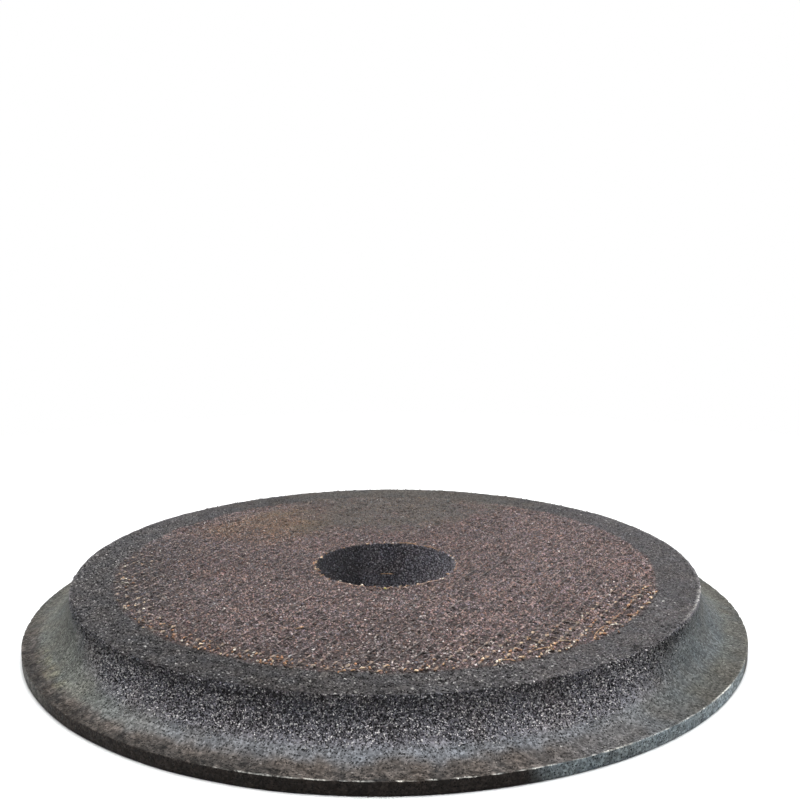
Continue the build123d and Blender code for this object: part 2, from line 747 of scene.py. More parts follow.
    def _paint_cove(self, paint: Paint, walked: Array, points: Array) -> None:
        """Lay the cove's colours, from its chipped upper edge over the pale skin to its brown foot, with a
        painted sheen on the lower cove and painted light on its right side.

        Args:
            paint: The colours so far, which it adds to.
            walked: Distances along the section.
            points: Places in metres, one row each.
        """
        angle, face_end = plan_angle(points), self.face_end
        share = self.section.cove_share(walked)
        paint.lay(self.cove_grey, ramp(walked, face_end, face_end + 1 * MM))
        chipped = hump(walked, face_end, face_end + 0.4 * MM, 0.15 * MM) * sector(angle, -30, -16, 4)
        paint.lay(self.edge_white, 0.38 * chipped * ramp(clouds(points, 1.4, 55), -0.2, 0.5))
        # The lower cove's blue grey: the skin's colour with a painted sheen of the overhead lamp
        paint.lay(self.band_blue_with_sheen, ramp(share, 0.45, 0.60))
        skin = 1 - 0.8 * self.openness(walked, points)
        skin *= ramp(walked, face_end + 1 * MM, self.cove_start + 2 * MM)
        paint.lay(self.side_olive, (1 - sector(angle, 250, 296, 30)) * skin)
        # Painted light: a bluish, lighter slate on the cove's right side, which faces the right lamp
        slate_light_share = sector(angle, 322, 352, 12) * ramp(share, 0.0, 0.05) * ramp(share, 0.75, 0.6)
        paint.lay(self.slate_painted_light, 0.7 * slate_light_share)
        worn = share + 0.05 * clouds(points, 7, 32) + 0.04 * clouds(points, 2, 33)
        worn = ramp(worn + 0.06 * sector(angle, 262, 300, 20), 0.69, 0.86)
        paint.lay(self.lip_brown, worn * (0.25 + 0.75 * sector(angle, 200, 286, 20)))
        stain = sector(angle, 205, 214, 6) * hump(share, 0.70, 0.82, 0.07)
        paint.lay(self.stain_yellow, 0.35 * stain * ramp(clouds(points, 3, 54), -0.6, 0.4))
        paint.lay(self.foot_brown, ramp(share, 0.76, 0.96) * (0.2 + 0.7 * sector(angle, 206, 252, 16)))

    def _paint_rim(self, paint: Paint, walked: Array, points: Array, on_rim: Array) -> None:
        """Lay the rim's colours and painted light and shade, the broken white line on its edge, and the
        back's grey.

        Args:
            paint: The colours so far, which it adds to.
            walked: Distances along the section.
            points: Places in metres, one row each.
            on_rim: Share to which each place lies on the rim.
        """
        angle, lip_end = plan_angle(points), self.lip_end
        # The rim's dark ground, partly its colour and partly painted shade; it stays where nothing lighter
        # is laid, in front away from the lamps and at the back
        paint.lay(self.rim_black_and_shade, on_rim)
        paint.lay(self.rim_olive, on_rim * sector(angle, 150, 208, 14))
        # Painted light: a lit blue grey on the near right of the rim
        paint.lay(self.rim_painted_light_blue, on_rim * sector(angle, -68, -28, 5))
        paint.lay(self.rim_olive, 0.8 * on_rim * sector(angle, -16, 40, 14))
        # The broken white line along the rim's upper edge on the near right: partly chips and partly a
        # painted highlight
        line = hump(walked, lip_end + 0.05 * MM, lip_end + 0.3 * MM, 0.15 * MM)
        broken = ramp(clouds(points, 1.5, 37) + 0.5 * clouds(points, 9, 53), -0.1, 0.6)
        paint.lay(self.edge_white, 0.65 * (line * sector(angle, -100, -34, 16)) * broken)
        paint.lay(self.back_grey, ramp(walked, self.back_start, self.back_start + 1 * MM))

    def _paint_bore(self, paint: Paint, walked: Array, points: Array) -> None:
        """Lay the bore's blue grey, brightened as painted light, with painted light and painted shade on
        opposite sides of the wall, and the pink of cut yarn at its edge.

        Args:
            paint: The colours so far, which it adds to.
            walked: Distances along the section.
            points: Places in metres, one row each.
        """
        angle, bore_end = plan_angle(points), self.bore_end
        wall = ramp(walked, bore_end, bore_end - 0.6 * MM)
        paint.lay(self.bore_blue_and_painted_light, wall)
        # Painted light on the wall at bearings 10 to 66, painted shade on the wall at 118 to 200
        sides = 0.3 * sector(angle, 10, 66, 18) - 0.66 * sector(angle, 118, 200, 20)
        paint.colour *= 1 + wall[:, None] * sides[:, None]
        cut = hump(walked, bore_end - 0.5 * MM, bore_end + 0.1 * MM, 0.4 * MM) * sector(angle, 190, 350, 20)
        paint.lay(self.cut_pink, 0.75 * cut * ramp(clouds(points, 2.2, 38), -0.5, 0.3))

    def _face_painted_light(self, walked: Array, points: Array) -> Array:
        """Give the face's painted light and shade at each place, as a factor on its colour, with the net's
        rows.

        Args:
            walked: Distances along the section.
            points: Places in metres, one row each.

        Returns:
            One factor for each place.
        """
        angle, radius = plan_angle(points), off_axis(points)
        net = self.in_net(points)
        painted_lit = painted_shading(FACE_PAINTED_SHADES, angle, radius / MM) + net * painted_shading(NET_PAINTED_SHADES, angle, radius / MM)
        painted_lit += (1 - net) * painted_shading(MARGIN_PAINTED_SHADES, angle, radius)
        # The net's rows: lighter over the yarns and darker in the meshes, strongest on the near right;
        # partly the net's own pattern, partly painted shade in the meshes
        rows = 0.04 + 0.16 * sector(angle, -95, 10, 25) * ramp(radius, 52 * MM, 84 * MM)
        weave_and_mesh_shade = rows * (1 + 0.6 * clouds(points, 3, 29)) * self.on_yarn(points) - 0.4 * rows
        light = 1 + painted_lit * ramp(walked, self.face_end + 0.8 * MM, self.face_end)
        return light * (1 + net * (1 - self.cover(points)) * weave_and_mesh_shade)

    def _side_painted_light(self, walked: Array, points: Array, on_rim: Array) -> Array:
        """Give the painted light and shade of the cove, the lip and the rim at each place, with their
        uneven mottle, as a factor on their colour.

        Args:
            walked: Distances along the section.
            points: Places in metres, one row each.
            on_rim: Share to which each place lies on the rim.

        Returns:
            One factor for each place.
        """
        angle = plan_angle(points)
        share = self.section.cove_share(walked)
        on_cove = ramp(walked, self.face_end, self.face_end + 0.8 * MM)
        on_cove *= ramp(walked, self.lip_end, self.cove_end)
        light = 1 + on_cove * painted_shading(COVE_PAINTED_SHADES, angle, share)
        light *= 1 + on_rim * painted_shading(RIM_PAINTED_SHADES, angle, share)
        uneven = 0.45 - 0.20 * sector(angle, -66, 0, 10)
        light *= 1 + uneven * on_rim * clouds(points * (1.0, 1.0, 0.3), 1.3, 39)
        # The lip's uneven mottle, with painted shade on its front
        on_lip = ramp(share, 0.72, 0.9) * (1 - on_rim) * (0.15 + 0.85 * sector(angle, 205, 284, 26))
        light *= 1 + on_lip * (0.80 * clouds(points, 1.1, 40) - 0.12 * sector(angle, 260, 280, 8))
        return light


class Piece:
    """A mesh under construction, gathered from many small shapes and then made one object."""

    def __init__(self, name: str) -> None:
        """Start an empty piece.

        Args:
            name: Its name.
        """
        self.name = name
        self.places: list[Array] = []
        self.faces: list[Array] = []
        self.values: dict[str, list[Array]] = {}
        self.count = 0

    def add(self, places: Array, faces: Array, chart: Array, **values: Array) -> None:
        """Put a shape into the piece.

        Args:
            places: Its vertices, one row each.
            faces: Its triangles or its quads, as vertex numbers.
            chart: The place of each vertex on the piece's texture map.
            values: Named values or colours for each vertex.
        """
        self.places.append(places)
        self.faces.append(faces + self.count)
        values[MAP_NAME] = chart
        for name, value in values.items():
            self.values.setdefault(name, []).append(value)
        self.count += len(places)

    def finish(self, material: bpy.types.Material, smooth: bool) -> bpy.types.Object:
        """Make the object, dress it and fasten it to the disc.

        Args:
            material: What it wears.
            smooth: Whether its faces shade as one surface.

        Returns:
            The finished object.
        """
        mesh = bpy.data.meshes.new(self.name)
        places = np.concatenate(self.places)
        corners = np.concatenate([block.ravel() for block in self.faces])
        sizes = np.concatenate([np.full(len(block), block.shape[1]) for block in self.faces])
        mesh.vertices.add(len(places))
        mesh.vertices.foreach_set("co", places.astype(np.float32).ravel())
        mesh.loops.add(len(corners))
        mesh.loops.foreach_set("vertex_index", corners.astype(np.int32))
        mesh.polygons.add(len(sizes))
        mesh.polygons.foreach_set("loop_start", (np.cumsum(sizes) - sizes).astype(np.int32))
        mesh.update(calc_edges=True)
        for name, blocks in self.values.items():
            store(mesh, name, np.concatenate(blocks))
        return dress(bpy.data.objects.new(self.name, mesh), material, smooth)


def store(mesh: bpy.types.Mesh, name: str, values: Array) -> None:
    """Keep a value, a colour or a map place for every vertex of a mesh.

    Args:
        mesh: The mesh to add it to.
        name: The attribute's name. The map name makes a texture map instead.
        values: One number, or a row of two or three, for each vertex.
    """
    if name == MAP_NAME:
        loops = np.empty(len(mesh.loops), np.int32)
        mesh.loops.foreach_get("vertex_index", loops)
        layer = mesh.uv_layers.new(name=MAP_NAME)
        layer.uv.foreach_set("vector", values[loops].astype(np.float32).ravel())
    elif values.ndim == 2:
        alpha = np.ones((len(values), 1))
        layer = mesh.attributes.new(name, "FLOAT_COLOR", "POINT")
        layer.data.foreach_set("color", np.hstack((values, alpha)).astype(np.float32).ravel())
    else:
        layer = mesh.attributes.new(name, "FLOAT", "POINT")
        layer.data.foreach_set("value", values.astype(np.float32))


def dress(
    thing: bpy.types.Object, material: bpy.types.Material, smooth: bool
) -> bpy.types.Object:
    """Give a new object its material and fasten it to the disc.

    Args:
        thing: The object.
        material: What it wears.
        smooth: Whether its faces shade as one surface.

    Returns:
        The same object.
    """
    mesh = thing.data
    mesh.materials.append(material)
    mesh.polygons.foreach_set("use_smooth", np.full(len(mesh.polygons), smooth))
    bpy.context.scene.collection.objects.link(thing)
    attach(thing, "root")
    mesh.calc_loop_triangles()
    LOG.info("%s: %d triangles", thing.name, len(mesh.loop_triangles))
    return thing


def solid_arrays(solid: bmesh.types.BMesh) -> tuple[Array, Array]:
    """Give a small solid's vertices and its triangles, and free it.

    Args:
        solid: The solid, which is of no use afterwards.

    Returns:
        Its vertices, one row each, and the vertex numbers of its triangles.
    """
    solid.verts.index_update()
    places = np.array([vert.co[:] for vert in solid.verts])
    faces = np.array([[vert.index for vert in face.verts] for face in solid.faces])
    solid.free()
    return places, faces


class Bench:
    """A node tree in the making."""

    def __init__(self, tree: bpy.types.NodeTree) -> None:
        """Work on a tree."""
        self.tree = tree

    def node(self, kind: str, inputs: dict | None = None, **settings: object) -> bpy.types.Node:
        """Place a node and feed it.

        Args:
            kind: The node's type, without its leading ShaderNode.
            inputs: Input names or numbers, each with a constant or with the output that feeds it.
            settings: Properties of the node itself.

        Returns:
            The node.
        """
        made = self.tree.nodes.new(kind if kind.startswith("NodeGroup") else "ShaderNode" + kind)
        for name, value in settings.items():
            setattr(made, name, value)
        for key, value in (inputs or {}).items():
            self.feed(made.inputs[key], value)
        return made

    def feed(self, socket: bpy.types.NodeSocket, value: object) -> None:
        """Link an output to an input, or set the input's constant.

        Args:
            socket: The input.
            value: A constant, or the output that feeds it.
        """
        if isinstance(value, bpy.types.NodeSocket):
            self.tree.links.new(value, socket)
        elif isinstance(value, tuple) and len(value) == 3 and socket.type == "RGBA":
            socket.default_value = (*value, 1.0)
        else:
            socket.default_value = value

    def stored(self, name: str, output: str = "Fac") -> bpy.types.NodeSocket:
        """Read what the piece's mesh keeps under a name."""
        return self.node("Attribute", attribute_name=name).outputs[output]

    def maths(self, operation: str, *values: object) -> bpy.types.NodeSocket:
        """Do a sum on numbers or outputs, and give its output.

        Args:
            operation: The sum's kind.
            values: Numbers or outputs, in order.

        Returns:
            The output with the result.
        """
        made = self.node("Math", operation=operation)
        for socket, value in zip(made.inputs, values):
            self.feed(socket, value)
        return made.outputs[0]

    def mapped(
        self, value: object, low: float, high: float, start: float, end: float
    ) -> bpy.types.NodeSocket:
        """Stretch one range of an output over another, clamped."""
        inputs = {"Value": value, "From Min": low, "From Max": high, "To Min": start, "To Max": end}
        return self.node("MapRange", inputs).outputs[0]

    def blend(self, mode: str, share: object, first: object, second: object) -> bpy.types.NodeSocket:
        """Blend two colours and give the result's output.

        Args:
            mode: How they are blended.
            share: How much of the second colour shows.
            first: The colour underneath.
            second: The colour on top.

        Returns:
            The output with the blended colour.
        """
        made = self.node("Mix", data_type="RGBA", blend_type=mode)
        for index, value in ((0, share), (6, first), (7, second)):
            self.feed(made.inputs[index], value)
        return made.outputs[2]

    def show(self, shader: bpy.types.Node, look: bpy.types.Node, bump: float, depth: float) -> None:
        """Let a group's colour and height shape what a shader shows.

        Args:
            shader: The shader.
            look: The group's node.
            bump: Strength of the bump.
            depth: Depth of the bump.
        """
        height = {"Strength": bump, "Distance": depth, "Height": look.outputs["Height"]}
        self.feed(shader.inputs["Base Color"], look.outputs["Color"])
        self.feed(shader.inputs["Normal"], self.node("Bump", height).outputs["Normal"])

    def dimmed(self, colour: object, factor: object) -> bpy.types.NodeSocket:
        """Multiply a colour by a number and give the result's output."""
        grey = self.node("CombineColor", {0: factor, 1: factor, 2: factor})
        return self.blend("MULTIPLY", 1.0, colour, grey.outputs[0])


def new_group(
    name: str, inputs: dict[str, str], outputs: dict[str, str]
) -> tuple[Bench, dict, bpy.types.Node]:
    """Start a shader node group with named sockets.

    Args:
        name: The group's name.
        inputs: Each input's name and kind: Float, Color or Vector.
        outputs: The same for the outputs.

    Returns:
        A bench on its tree, its input sockets by name and its output node.
    """
    tree = bpy.data.node_groups.new(name, "ShaderNodeTree")
    for way, sockets in (("INPUT", inputs), ("OUTPUT", outputs)):
        for label, kind in sockets.items():
            tree.interface.new_socket(label, in_out=way, socket_type="NodeSocket" + kind)
    bench = Bench(tree)
    entry, way_out = bench.node("NodeGroupInput"), bench.node("NodeGroupOutput")
    return bench, {label: entry.outputs[label] for label in inputs}, way_out


def new_material(name: str) -> tuple[bpy.types.Material, Bench, bpy.types.Node]:
    """Start a material, and give it with a bench on its tree and with its shader.

    Args:
        name: The material's name.

    Returns:
        The material, a bench on its tree and its shader.
    """
    material = bpy.data.materials.new(name)
    material.use_nodes = True
    return material, Bench(material.node_tree), material.node_tree.nodes["Principled BSDF"]


def grain_group() -> bpy.types.NodeTree:
    """Build the grain of bonded grit: grains of uneven brightness and shine, broken by pores darkened with
    painted shade.

    Returns:
        The group's tree.
    """
    fine_ratio, pore_shade, plain_roughness = 2.3, 0.12, 0.82
    pore_drop, fine_rise = 2.0, 0.6
    bench, given, result = new_group(
        "Grit grain",
        {"Tint": "Color", "Grain size": "Float", "Contrast": "Float", "Shine": "Float", "Pores": "Float"},
        {"Color": "Color", "Roughness": "Float", "Height": "Float"},
    )
    place = bench.node("TexCoord").outputs["Object"]
    scale = bench.maths("DIVIDE", 1.0, given["Grain size"])
    cells = bench.node("TexVoronoi", {"Vector": place, "Scale": scale}, feature="F1")
    pick = bench.node("SeparateColor", {0: cells.outputs["Color"]})
    fine_scale = bench.maths("MULTIPLY", scale, fine_ratio)
    fine = bench.node("TexNoise", {"Vector": place, "Scale": fine_scale, "Detail": 3.0})
    swing = bench.maths("SUBTRACT", pick.outputs[0], 0.5)
    swing = bench.maths("ADD", swing, bench.maths("SUBTRACT", fine.outputs[0], 0.5))
    factor = bench.maths("POWER", 2.0, bench.maths("MULTIPLY", swing, given["Contrast"]))
    # Pores, darkened with painted shade and dipped in height
    hole = bench.maths("LESS_THAN", pick.outputs[2], given["Pores"])
    hole = bench.maths("MULTIPLY", hole, bench.mapped(cells.outputs["Distance"], 0.25, 0.5, 1.0, 0.0))
    factor = bench.maths("MULTIPLY", factor, bench.mapped(hole, 0.0, 1.0, 1.0, pore_shade))
    bench.feed(result.inputs["Color"], bench.dimmed(given["Tint"], factor))
    shine = bench.maths("MULTIPLY", bench.mapped(pick.outputs[1], 0.5, 1.0, 0.0, 1.0), given["Shine"])
    bench.feed(result.inputs["Roughness"], bench.maths("SUBTRACT", plain_roughness, shine))
    dip = bench.maths("MULTIPLY", cells.outputs["Distance"], -1.0)
    dip = bench.maths("SUBTRACT", dip, bench.maths("MULTIPLY", hole, pore_drop))
    fine_height = bench.maths("MULTIPLY", fine.outputs[0], fine_rise)
    bench.feed(result.inputs["Height"], bench.maths("ADD", dip, fine_height))
    return bench.tree


def twist_group() -> bpy.types.NodeTree:
    """Build the look of a twisted yarn: slanting filaments, with grit dust caught between them.

    Returns:
        The group's tree.
    """
    twist_per_metre, dust_per_metre = 900.0, 1500.0
    bench, given, result = new_group(
        "Twisted yarn",
        {"Tint": "Color", "Along": "Float", "Across": "Float", "Filaments": "Float"},
        {"Color": "Color", "Height": "Float"},
    )
    slant = bench.maths("ADD", bench.maths("MULTIPLY", given["Along"], twist_per_metre), given["Across"])
    wave = bench.maths("SINE", bench.maths("MULTIPLY", slant, given["Filaments"]))
    height = bench.mapped(wave, -1.0, 1.0, 0.0, 1.0)
    place = bench.node("TexCoord").outputs["Object"]
    dust = bench.node("TexNoise", {"Vector": place, "Scale": dust_per_metre, "Detail": 3.0})
    dark = bench.mapped(dust.outputs[0], 0.40, 0.62, 0.35, 1.35)
    strand = bench.maths("MULTIPLY", dark, bench.mapped(height, 0.0, 1.0, 0.82, 1.1))
    bench.feed(result.inputs["Color"], bench.dimmed(given["Tint"], strand))
    bench.feed(result.inputs["Height"], height)
    return bench.tree


@dataclass(frozen=True)
class GritFinish:
    """Finish of bonded grit, for the shell or for the crystals that stand in it."""

    name: str
    grain_size: float
    contrast: float
    shine: float
    bump: float
    bump_depth: float = 0.15 * MM
    by_crystal: bool = False
    specular: float = 0.5

    def make(self, group: bpy.types.NodeTree) -> bpy.types.Material:
        """Build the material round the shared grain.

        Args:
            group: The grain's node group.

        Returns:
            The material.
        """
        material, bench, shader = new_material(self.name)
        tint = bench.stored("tint", "Color")
        grain = bench.node(
            "Group",
            {
                "Tint": bench.dimmed(tint, bench.stored("tone")) if self.by_crystal else tint,
                "Grain size": self.grain_size,
                "Contrast": self.contrast,
                "Shine": self.shine,
                "Pores": 0.0 if self.by_crystal else bench.stored("pores"),
            },
            node_tree=group,
        )
        bench.show(shader, grain, self.bump, self.bump_depth)
        bench.feed(shader.inputs["Roughness"], grain.outputs["Roughness"])
        shader.inputs["Specular IOR Level"].default_value = self.specular
        return material


@dataclass(frozen=True)
class YarnFinish:
    """Finish of the glass yarns."""

    name: str
    filaments: float
    bump: float
    roughness: float
    bump_depth: float = 0.05 * MM

    def make(self, group: bpy.types.NodeTree) -> bpy.types.Material:
        """Build the material round the shared twist.

        Args:
            group: The twist's node group.

        Returns:
            The material.
        """
        material, bench, shader = new_material(self.name)
        twist = bench.node(
            "Group",
            {
                "Tint": bench.stored("tint", "Color"),
                "Along": bench.stored("along"),
                "Across": bench.stored("across"),
                "Filaments": self.filaments,
            },
            node_tree=group,
        )
        bench.show(shader, twist, self.bump, self.bump_depth)
        shader.inputs["Roughness"].default_value = self.roughness
        return material


@dataclass
class MouldedBody:
    """The moulded shell of the disc: a turned section, roughened, pitted and chipped."""

    sizes: DiscSizes
    section: Section
    surface: Surface
    turns: int = 640
    spacing: float = 1.0 * MM
    back_spacing: float = 12 * MM
    bore_spacing: float = 1.5 * MM
    rim_spacing: float = 0.6 * MM
    face_void_shade: float = 0.85
    cove_void_shade: float = 0.48

    def _walk(self) -> Array:
        """Choose the distances along the section at which the shell gets a ring.

        Returns:
            The distances, in order.
        """
        own = {Zone.BACK: self.back_spacing, Zone.BORE: self.bore_spacing, Zone.RIM: self.rim_spacing}
        rings = []
        for stretch in self.section.stretches:
            start, end = self.section.reach(stretch.zone)
            steps = max(2, round(stretch.length / own.get(stretch.zone, self.spacing)))
            rings.append(np.linspace(start, end, steps, endpoint=False))
        return np.concatenate(rings)

    def _turned(self) -> bpy.types.Mesh:
        """Spin the plain section into a closed shell that keeps how far each vertex was walked.

        Returns:
            The shell, still plain.
        """
        walked = self._walk()
        points, _ = self.section.place(walked, np.zeros(len(walked)))
        shell = bmesh.new()
        path = shell.verts.layers.float.new("walked")
        ring = [shell.verts.new(point) for point in points]
        for vert, distance in zip(ring, walked):
            vert[path] = distance
        for first, second in zip(ring, ring[1:] + ring[:1]):
            shell.edges.new((first, second))
        bmesh.ops.spin(
            shell,
            geom=shell.verts[:] + shell.edges[:],
            cent=(0, 0, 0),
            axis=(0, 0, 1),
            angle=TURN,
            steps=self.turns,
            use_merge=True,
        )
        bmesh.ops.recalc_face_normals(shell, faces=shell.faces[:])
        mesh = bpy.data.meshes.new("moulded_body")
        shell.to_mesh(mesh)
        shell.free()
        return mesh

    def build(self, material: bpy.types.Material) -> bpy.types.Object:
        """Turn the section, give the shell its relief and colours, and finish it.

        Args:
            material: What the shell wears.

        Returns:
            The shell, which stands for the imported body.
        """
        mesh = self._turned()
        plain = np.empty(3 * len(mesh.vertices))
        mesh.vertices.foreach_get("co", plain)
        plain = plain.reshape(-1, 3)
        walked = np.empty(len(plain), np.float32)
        mesh.attributes["walked"].data.foreach_get("value", walked)
        walked = walked.astype(float)
        _, normals = self.section.place(walked, plan_angle(plain))
        level = self.surface.relief(walked, plain) - self.surface.sink(walked, plain)
        shaped = plain + normals * level[:, None]
        mesh.vertices.foreach_set("co", shaped.astype(np.float32).ravel())
        mesh.update()
        # Painted shade: the shell goes towards black in the open grain's voids and in the pits
        deep = np.where(walked > self.section.reach(Zone.FACE)[1], self.cove_void_shade, self.face_void_shade)
        gaps = deep * self.surface.openness(walked, plain)
        void_shade = np.maximum(gaps, self.surface.pits(walked, plain))[:, None]
        skin = self.surface.tint(walked, plain)
        store(mesh, "tint", skin + void_shade * (np.array(self.surface.void_shade_black) - skin))
        store(mesh, "pores", self.surface.pores(walked, plain))
        body = dress(bpy.data.objects.new("moulded_body", mesh), material, True)
        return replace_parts(body, "abrasive_body")


@dataclass(frozen=True)
class Palette:
    """How bright crystals are against the surface that they stand in, and how many of each there are."""

    tones: tuple[float, ...]
    shares: tuple[float, ...]


NET_GRAIN = Palette((0.55, 0.82, 1.0, 1.18, 1.5, 2.4), (0.18, 0.22, 0.25, 0.20, 0.12, 0.03))
COVE_GRAIN = Palette((0.03, 0.45, 0.9, 1.45, 2.2, 3.6), (0.34, 0.09, 0.15, 0.20, 0.18, 0.04))
RAGGED_GRAIN = Palette((0.25, 0.7, 1.0, 1.3, 1.8, 2.8), (0.20, 0.20, 0.22, 0.20, 0.14, 0.04))
SMOOTH_GRAIN = Palette((0.85, 0.95, 1.05, 1.2), (0.25, 0.30, 0.25, 0.20))
PRESSED_GRAIN = Palette((0.1, 0.5, 1.0, 1.5, 2.3, 3.8), (0.16, 0.22, 0.25, 0.22, 0.13, 0.02))
PALE_CHIPS = Palette((0.2, 0.5, 1.5, 2.2, 3.6), (0.26, 0.20, 0.26, 0.20, 0.08))
WHITE_CHIPS = Palette((4.0, 7.0), (0.5, 0.5))


@dataclass(frozen=True)
class GritBand:
    """A band of the surface that carries crystals of one size."""

    name: str
    start: float
    end: float
    pitch: float
    size: float
    lift: float
    cap: float
    keep: Callable[[Array, Array], Array]
    palette: Palette


@dataclass
class GritCoat:
    """The crystals of grit that stand out of the moulding, each a small faceted solid."""

    section: Section
    surface: Surface
    seed: int = 5
    shapes: int = 24
    corners: int = 6
    least_volume: float = 0.6
    sunk: float = 0.3
    darkest: float = 0.03
    brightest: float = 0.85

    def _crystals(self, rng: np.random.Generator) -> list[tuple[Array, Array]]:
        """Cut a few sharp crystals, each the hull of random corners on a sphere.

        Args:
            rng: Where the random numbers come from.

        Returns:
            Vertices and triangles of each crystal.
        """
        crystals = []
        while len(crystals) < self.shapes:
            corners = rng.normal(size=(self.corners, 3))
            corners /= np.linalg.norm(corners, axis=1)[:, None]
            lump = bmesh.new()
            for corner in corners:
                lump.verts.new(corner)
            bmesh.ops.convex_hull(lump, input=lump.verts[:])
            bmesh.ops.recalc_face_normals(lump, faces=lump.faces[:])
            stout = lump.calc_volume() > self.least_volume
            places, faces = solid_arrays(lump)
            if stout and len(places) == self.corners:
                crystals.append((places, faces))
        return crystals

    def _spots(self, band: GritBand, rng: np.random.Generator) -> tuple[Array, Array]:
        """Spread places over a band in jittered rows.

        Args:
            band: Where the crystals stand and how large they are.
            rng: Where the random numbers come from.

        Returns:
            Distances along the section and plan angles, one of each for every crystal.
        """
        rows = max(1, round((band.end - band.start) / band.pitch))
        walked, angles = [], []
        for row in range(rows):
            middle = band.start + (row + 0.5) * (band.end - band.start) / rows
            radius = self.section.place(np.array((middle,)), np.zeros(1))[0][0, 0]
            count = max(3, round(TURN * radius / band.pitch))
            jitter = rng.uniform(-0.42, 0.42, (2, count))
            walked.append(middle + jitter[0] * band.pitch)
            angles.append((np.arange(count) + rng.random() + jitter[1]) / count * TURN)
        return np.clip(np.concatenate(walked), band.start, band.end), np.concatenate(angles)

    def _colours(
        self, band: GritBand, walked: Array, plain: Array, rng: np.random.Generator
    ) -> tuple[Array, Array]:
        """Choose how bright each crystal is, and its colour.

        Args:
            band: The band, with its palette.
            walked: Distances along the section.
            plain: The crystals' places on the plain section.
            rng: The band's own random numbers.

        Returns:
            A tone for each crystal and a linear colour for each.
        """
        count = len(walked)
        angle, net = plan_angle(plain), self.surface.in_net(plain)
        on_face = self.section.on_face(walked)
        tone = rng.choice(band.palette.tones, count, p=band.palette.shares) * rng.uniform(0.85, 1.15, count)
        calm = 0.72 * sector(angle, -58, 130, 25) + 0.52 * net * sector(angle, 156, 250, 20)
        calm -= 0.45 * (1 - net) * sector(angle, 180, 300, 15)
        tone = np.maximum(1 + (tone - 1) * (1 - on_face * calm), self.darkest)
        # Painted shade: crystals in pits go nearly black
        tone *= 1 - 0.97 * self.surface.pits(walked, plain)
        fleck = rng.random(count) < on_face * (0.006 + 0.05 * self.surface.frayed(plain))
        tone = np.where(fleck, rng.uniform(1.8, 3.6, count), tone)
        tint = self.surface.tint(walked, plain) * rng.uniform(0.95, 1.05, (count, 3))
        rust = 0.07 * on_face * net * rng.normal(0, 1, count)
        tint *= 1 + rust[:, None] * (1.0, 0.0, -1.0)
        pale = 0.7 * ramp(tone, 1.0, 2.0)[:, None]
        tint += pale * (tint.mean(1, keepdims=True) * (1.04, 1.0, 0.94) - tint)
        return np.minimum(tone, self.brightest / tint.max(1)), tint

    def build(self, band: GritBand, material: bpy.types.Material) -> bpy.types.Object:
        """Set the crystals of one band into the surface.

        Args:
            band: Where they stand and how large they are.
            material: What they wear.

        Returns:
            The finished piece.
        """
        rng = np.random.default_rng([self.seed, *band.name.encode()])
        crystals = self._crystals(rng)
        walked, angle = self._spots(band, rng)
        plain, normals = self.section.place(walked, angle)
        kept = rng.random(len(walked)) < band.keep(walked, plain)
        walked, angle, plain, normals = (part[kept] for part in (walked, angle, plain, normals))
        count = len(walked)
        size = 0.5 * band.size * rng.uniform(0.7, 1.35, (count, 1)) * rng.uniform(0.75, 1.2, (count, 3))
        ground = self.surface.relief(walked, plain)
        level = ground - self.sunk * band.size + band.lift * rng.uniform(-1, 1, count)
        centres = plain + normals * level[:, None]
        top = ground + band.cap * rng.uniform(0.0, 1.0, count)
        tone, tint = self._colours(band, walked, plain, rng)
        spin = np.linalg.qr(rng.normal(size=(count, 3, 3)))[0]
        piece = Piece(band.name)
        kind = rng.integers(len(crystals), size=count)
        for number, (places, faces) in enumerate(crystals):
            mine = np.flatnonzero(kind == number)
            turned = np.einsum("nij,nvj->nvi", spin[mine], places[None] * size[mine, None])
            height = np.einsum("nvi,ni->nv", turned, normals[mine]) + level[mine, None]
            over = np.maximum(height - top[mine, None], 0)
            turned -= over[..., None] * normals[mine, None]
            spots = (turned + centres[mine, None]).reshape(-1, 3)
            handed = np.where(np.linalg.det(spin[mine]) > 0, 1, -1)
            stamped = faces[None] + (np.arange(len(mine)) * len(places))[:, None, None]
            stamped[handed < 0] = stamped[handed < 0][:, :, ::-1]
            each = len(places)
            piece.add(
                spots,
                stamped.reshape(-1, 3),
                self._chart(walked[mine], angle[mine], spots, each),
                tone=np.repeat(tone[mine], each),
                tint=np.repeat(tint[mine], each, 0),
            )
        return piece.finish(material, False)

    def _chart(self, walked: Array, angle: Array, spots: Array, each: int) -> Array:
        """Give the place of every corner of the crystals on the unrolled map.

        Args:
            walked: Distances along the section, one for each crystal.
            angle: Plan angles in radians, one for each crystal.
            spots: The corners of all the crystals.
            each: How many corners a crystal has.

        Returns:
            Map coordinates from 0 to 1, one row for each corner.
        """
        centre_flat = self.section.place(walked, angle)[0]
        along = self.section.place(walked + 0.01 * MM, angle)[0] - centre_flat
        along /= np.linalg.norm(along, axis=1)[:, None]
        offset = spots - np.repeat(centre_flat, each, 0)
        corner_walked = np.repeat(walked, each) + np.einsum("ni,ni->n", offset, np.repeat(along, each, 0))
        return self.section.unrolled(corner_walked, plan_angle(spots))


def ribbon(cuts: int, sides: int) -> tuple[Array, Array]:
    """Make a straight bar of radius 1 from 0 to 1 along X, divided into short lengths.

    Args:
        cuts: How many times it is divided.
        sides: How many sides its section has.

    Returns:
        Its vertices and its triangles.
    """
    bar = bmesh.new()
    bmesh.ops.create_cone(bar, cap_ends=True, segments=sides, radius1=1, radius2=1, depth=1)
    lengthwise = [edge for edge in bar.edges if abs(edge.verts[0].co.z - edge.verts[1].co.z) > 0.5]
    bmesh.ops.subdivide_edges(bar, edges=lengthwise, cuts=cuts)
    bmesh.ops.triangulate(bar, faces=bar.faces[:])
    bmesh.ops.recalc_face_normals(bar, faces=bar.faces[:])
    places, faces = solid_arrays(bar)
    return places[:, [2, 0, 1]] + (0.5, 0, 0), faces


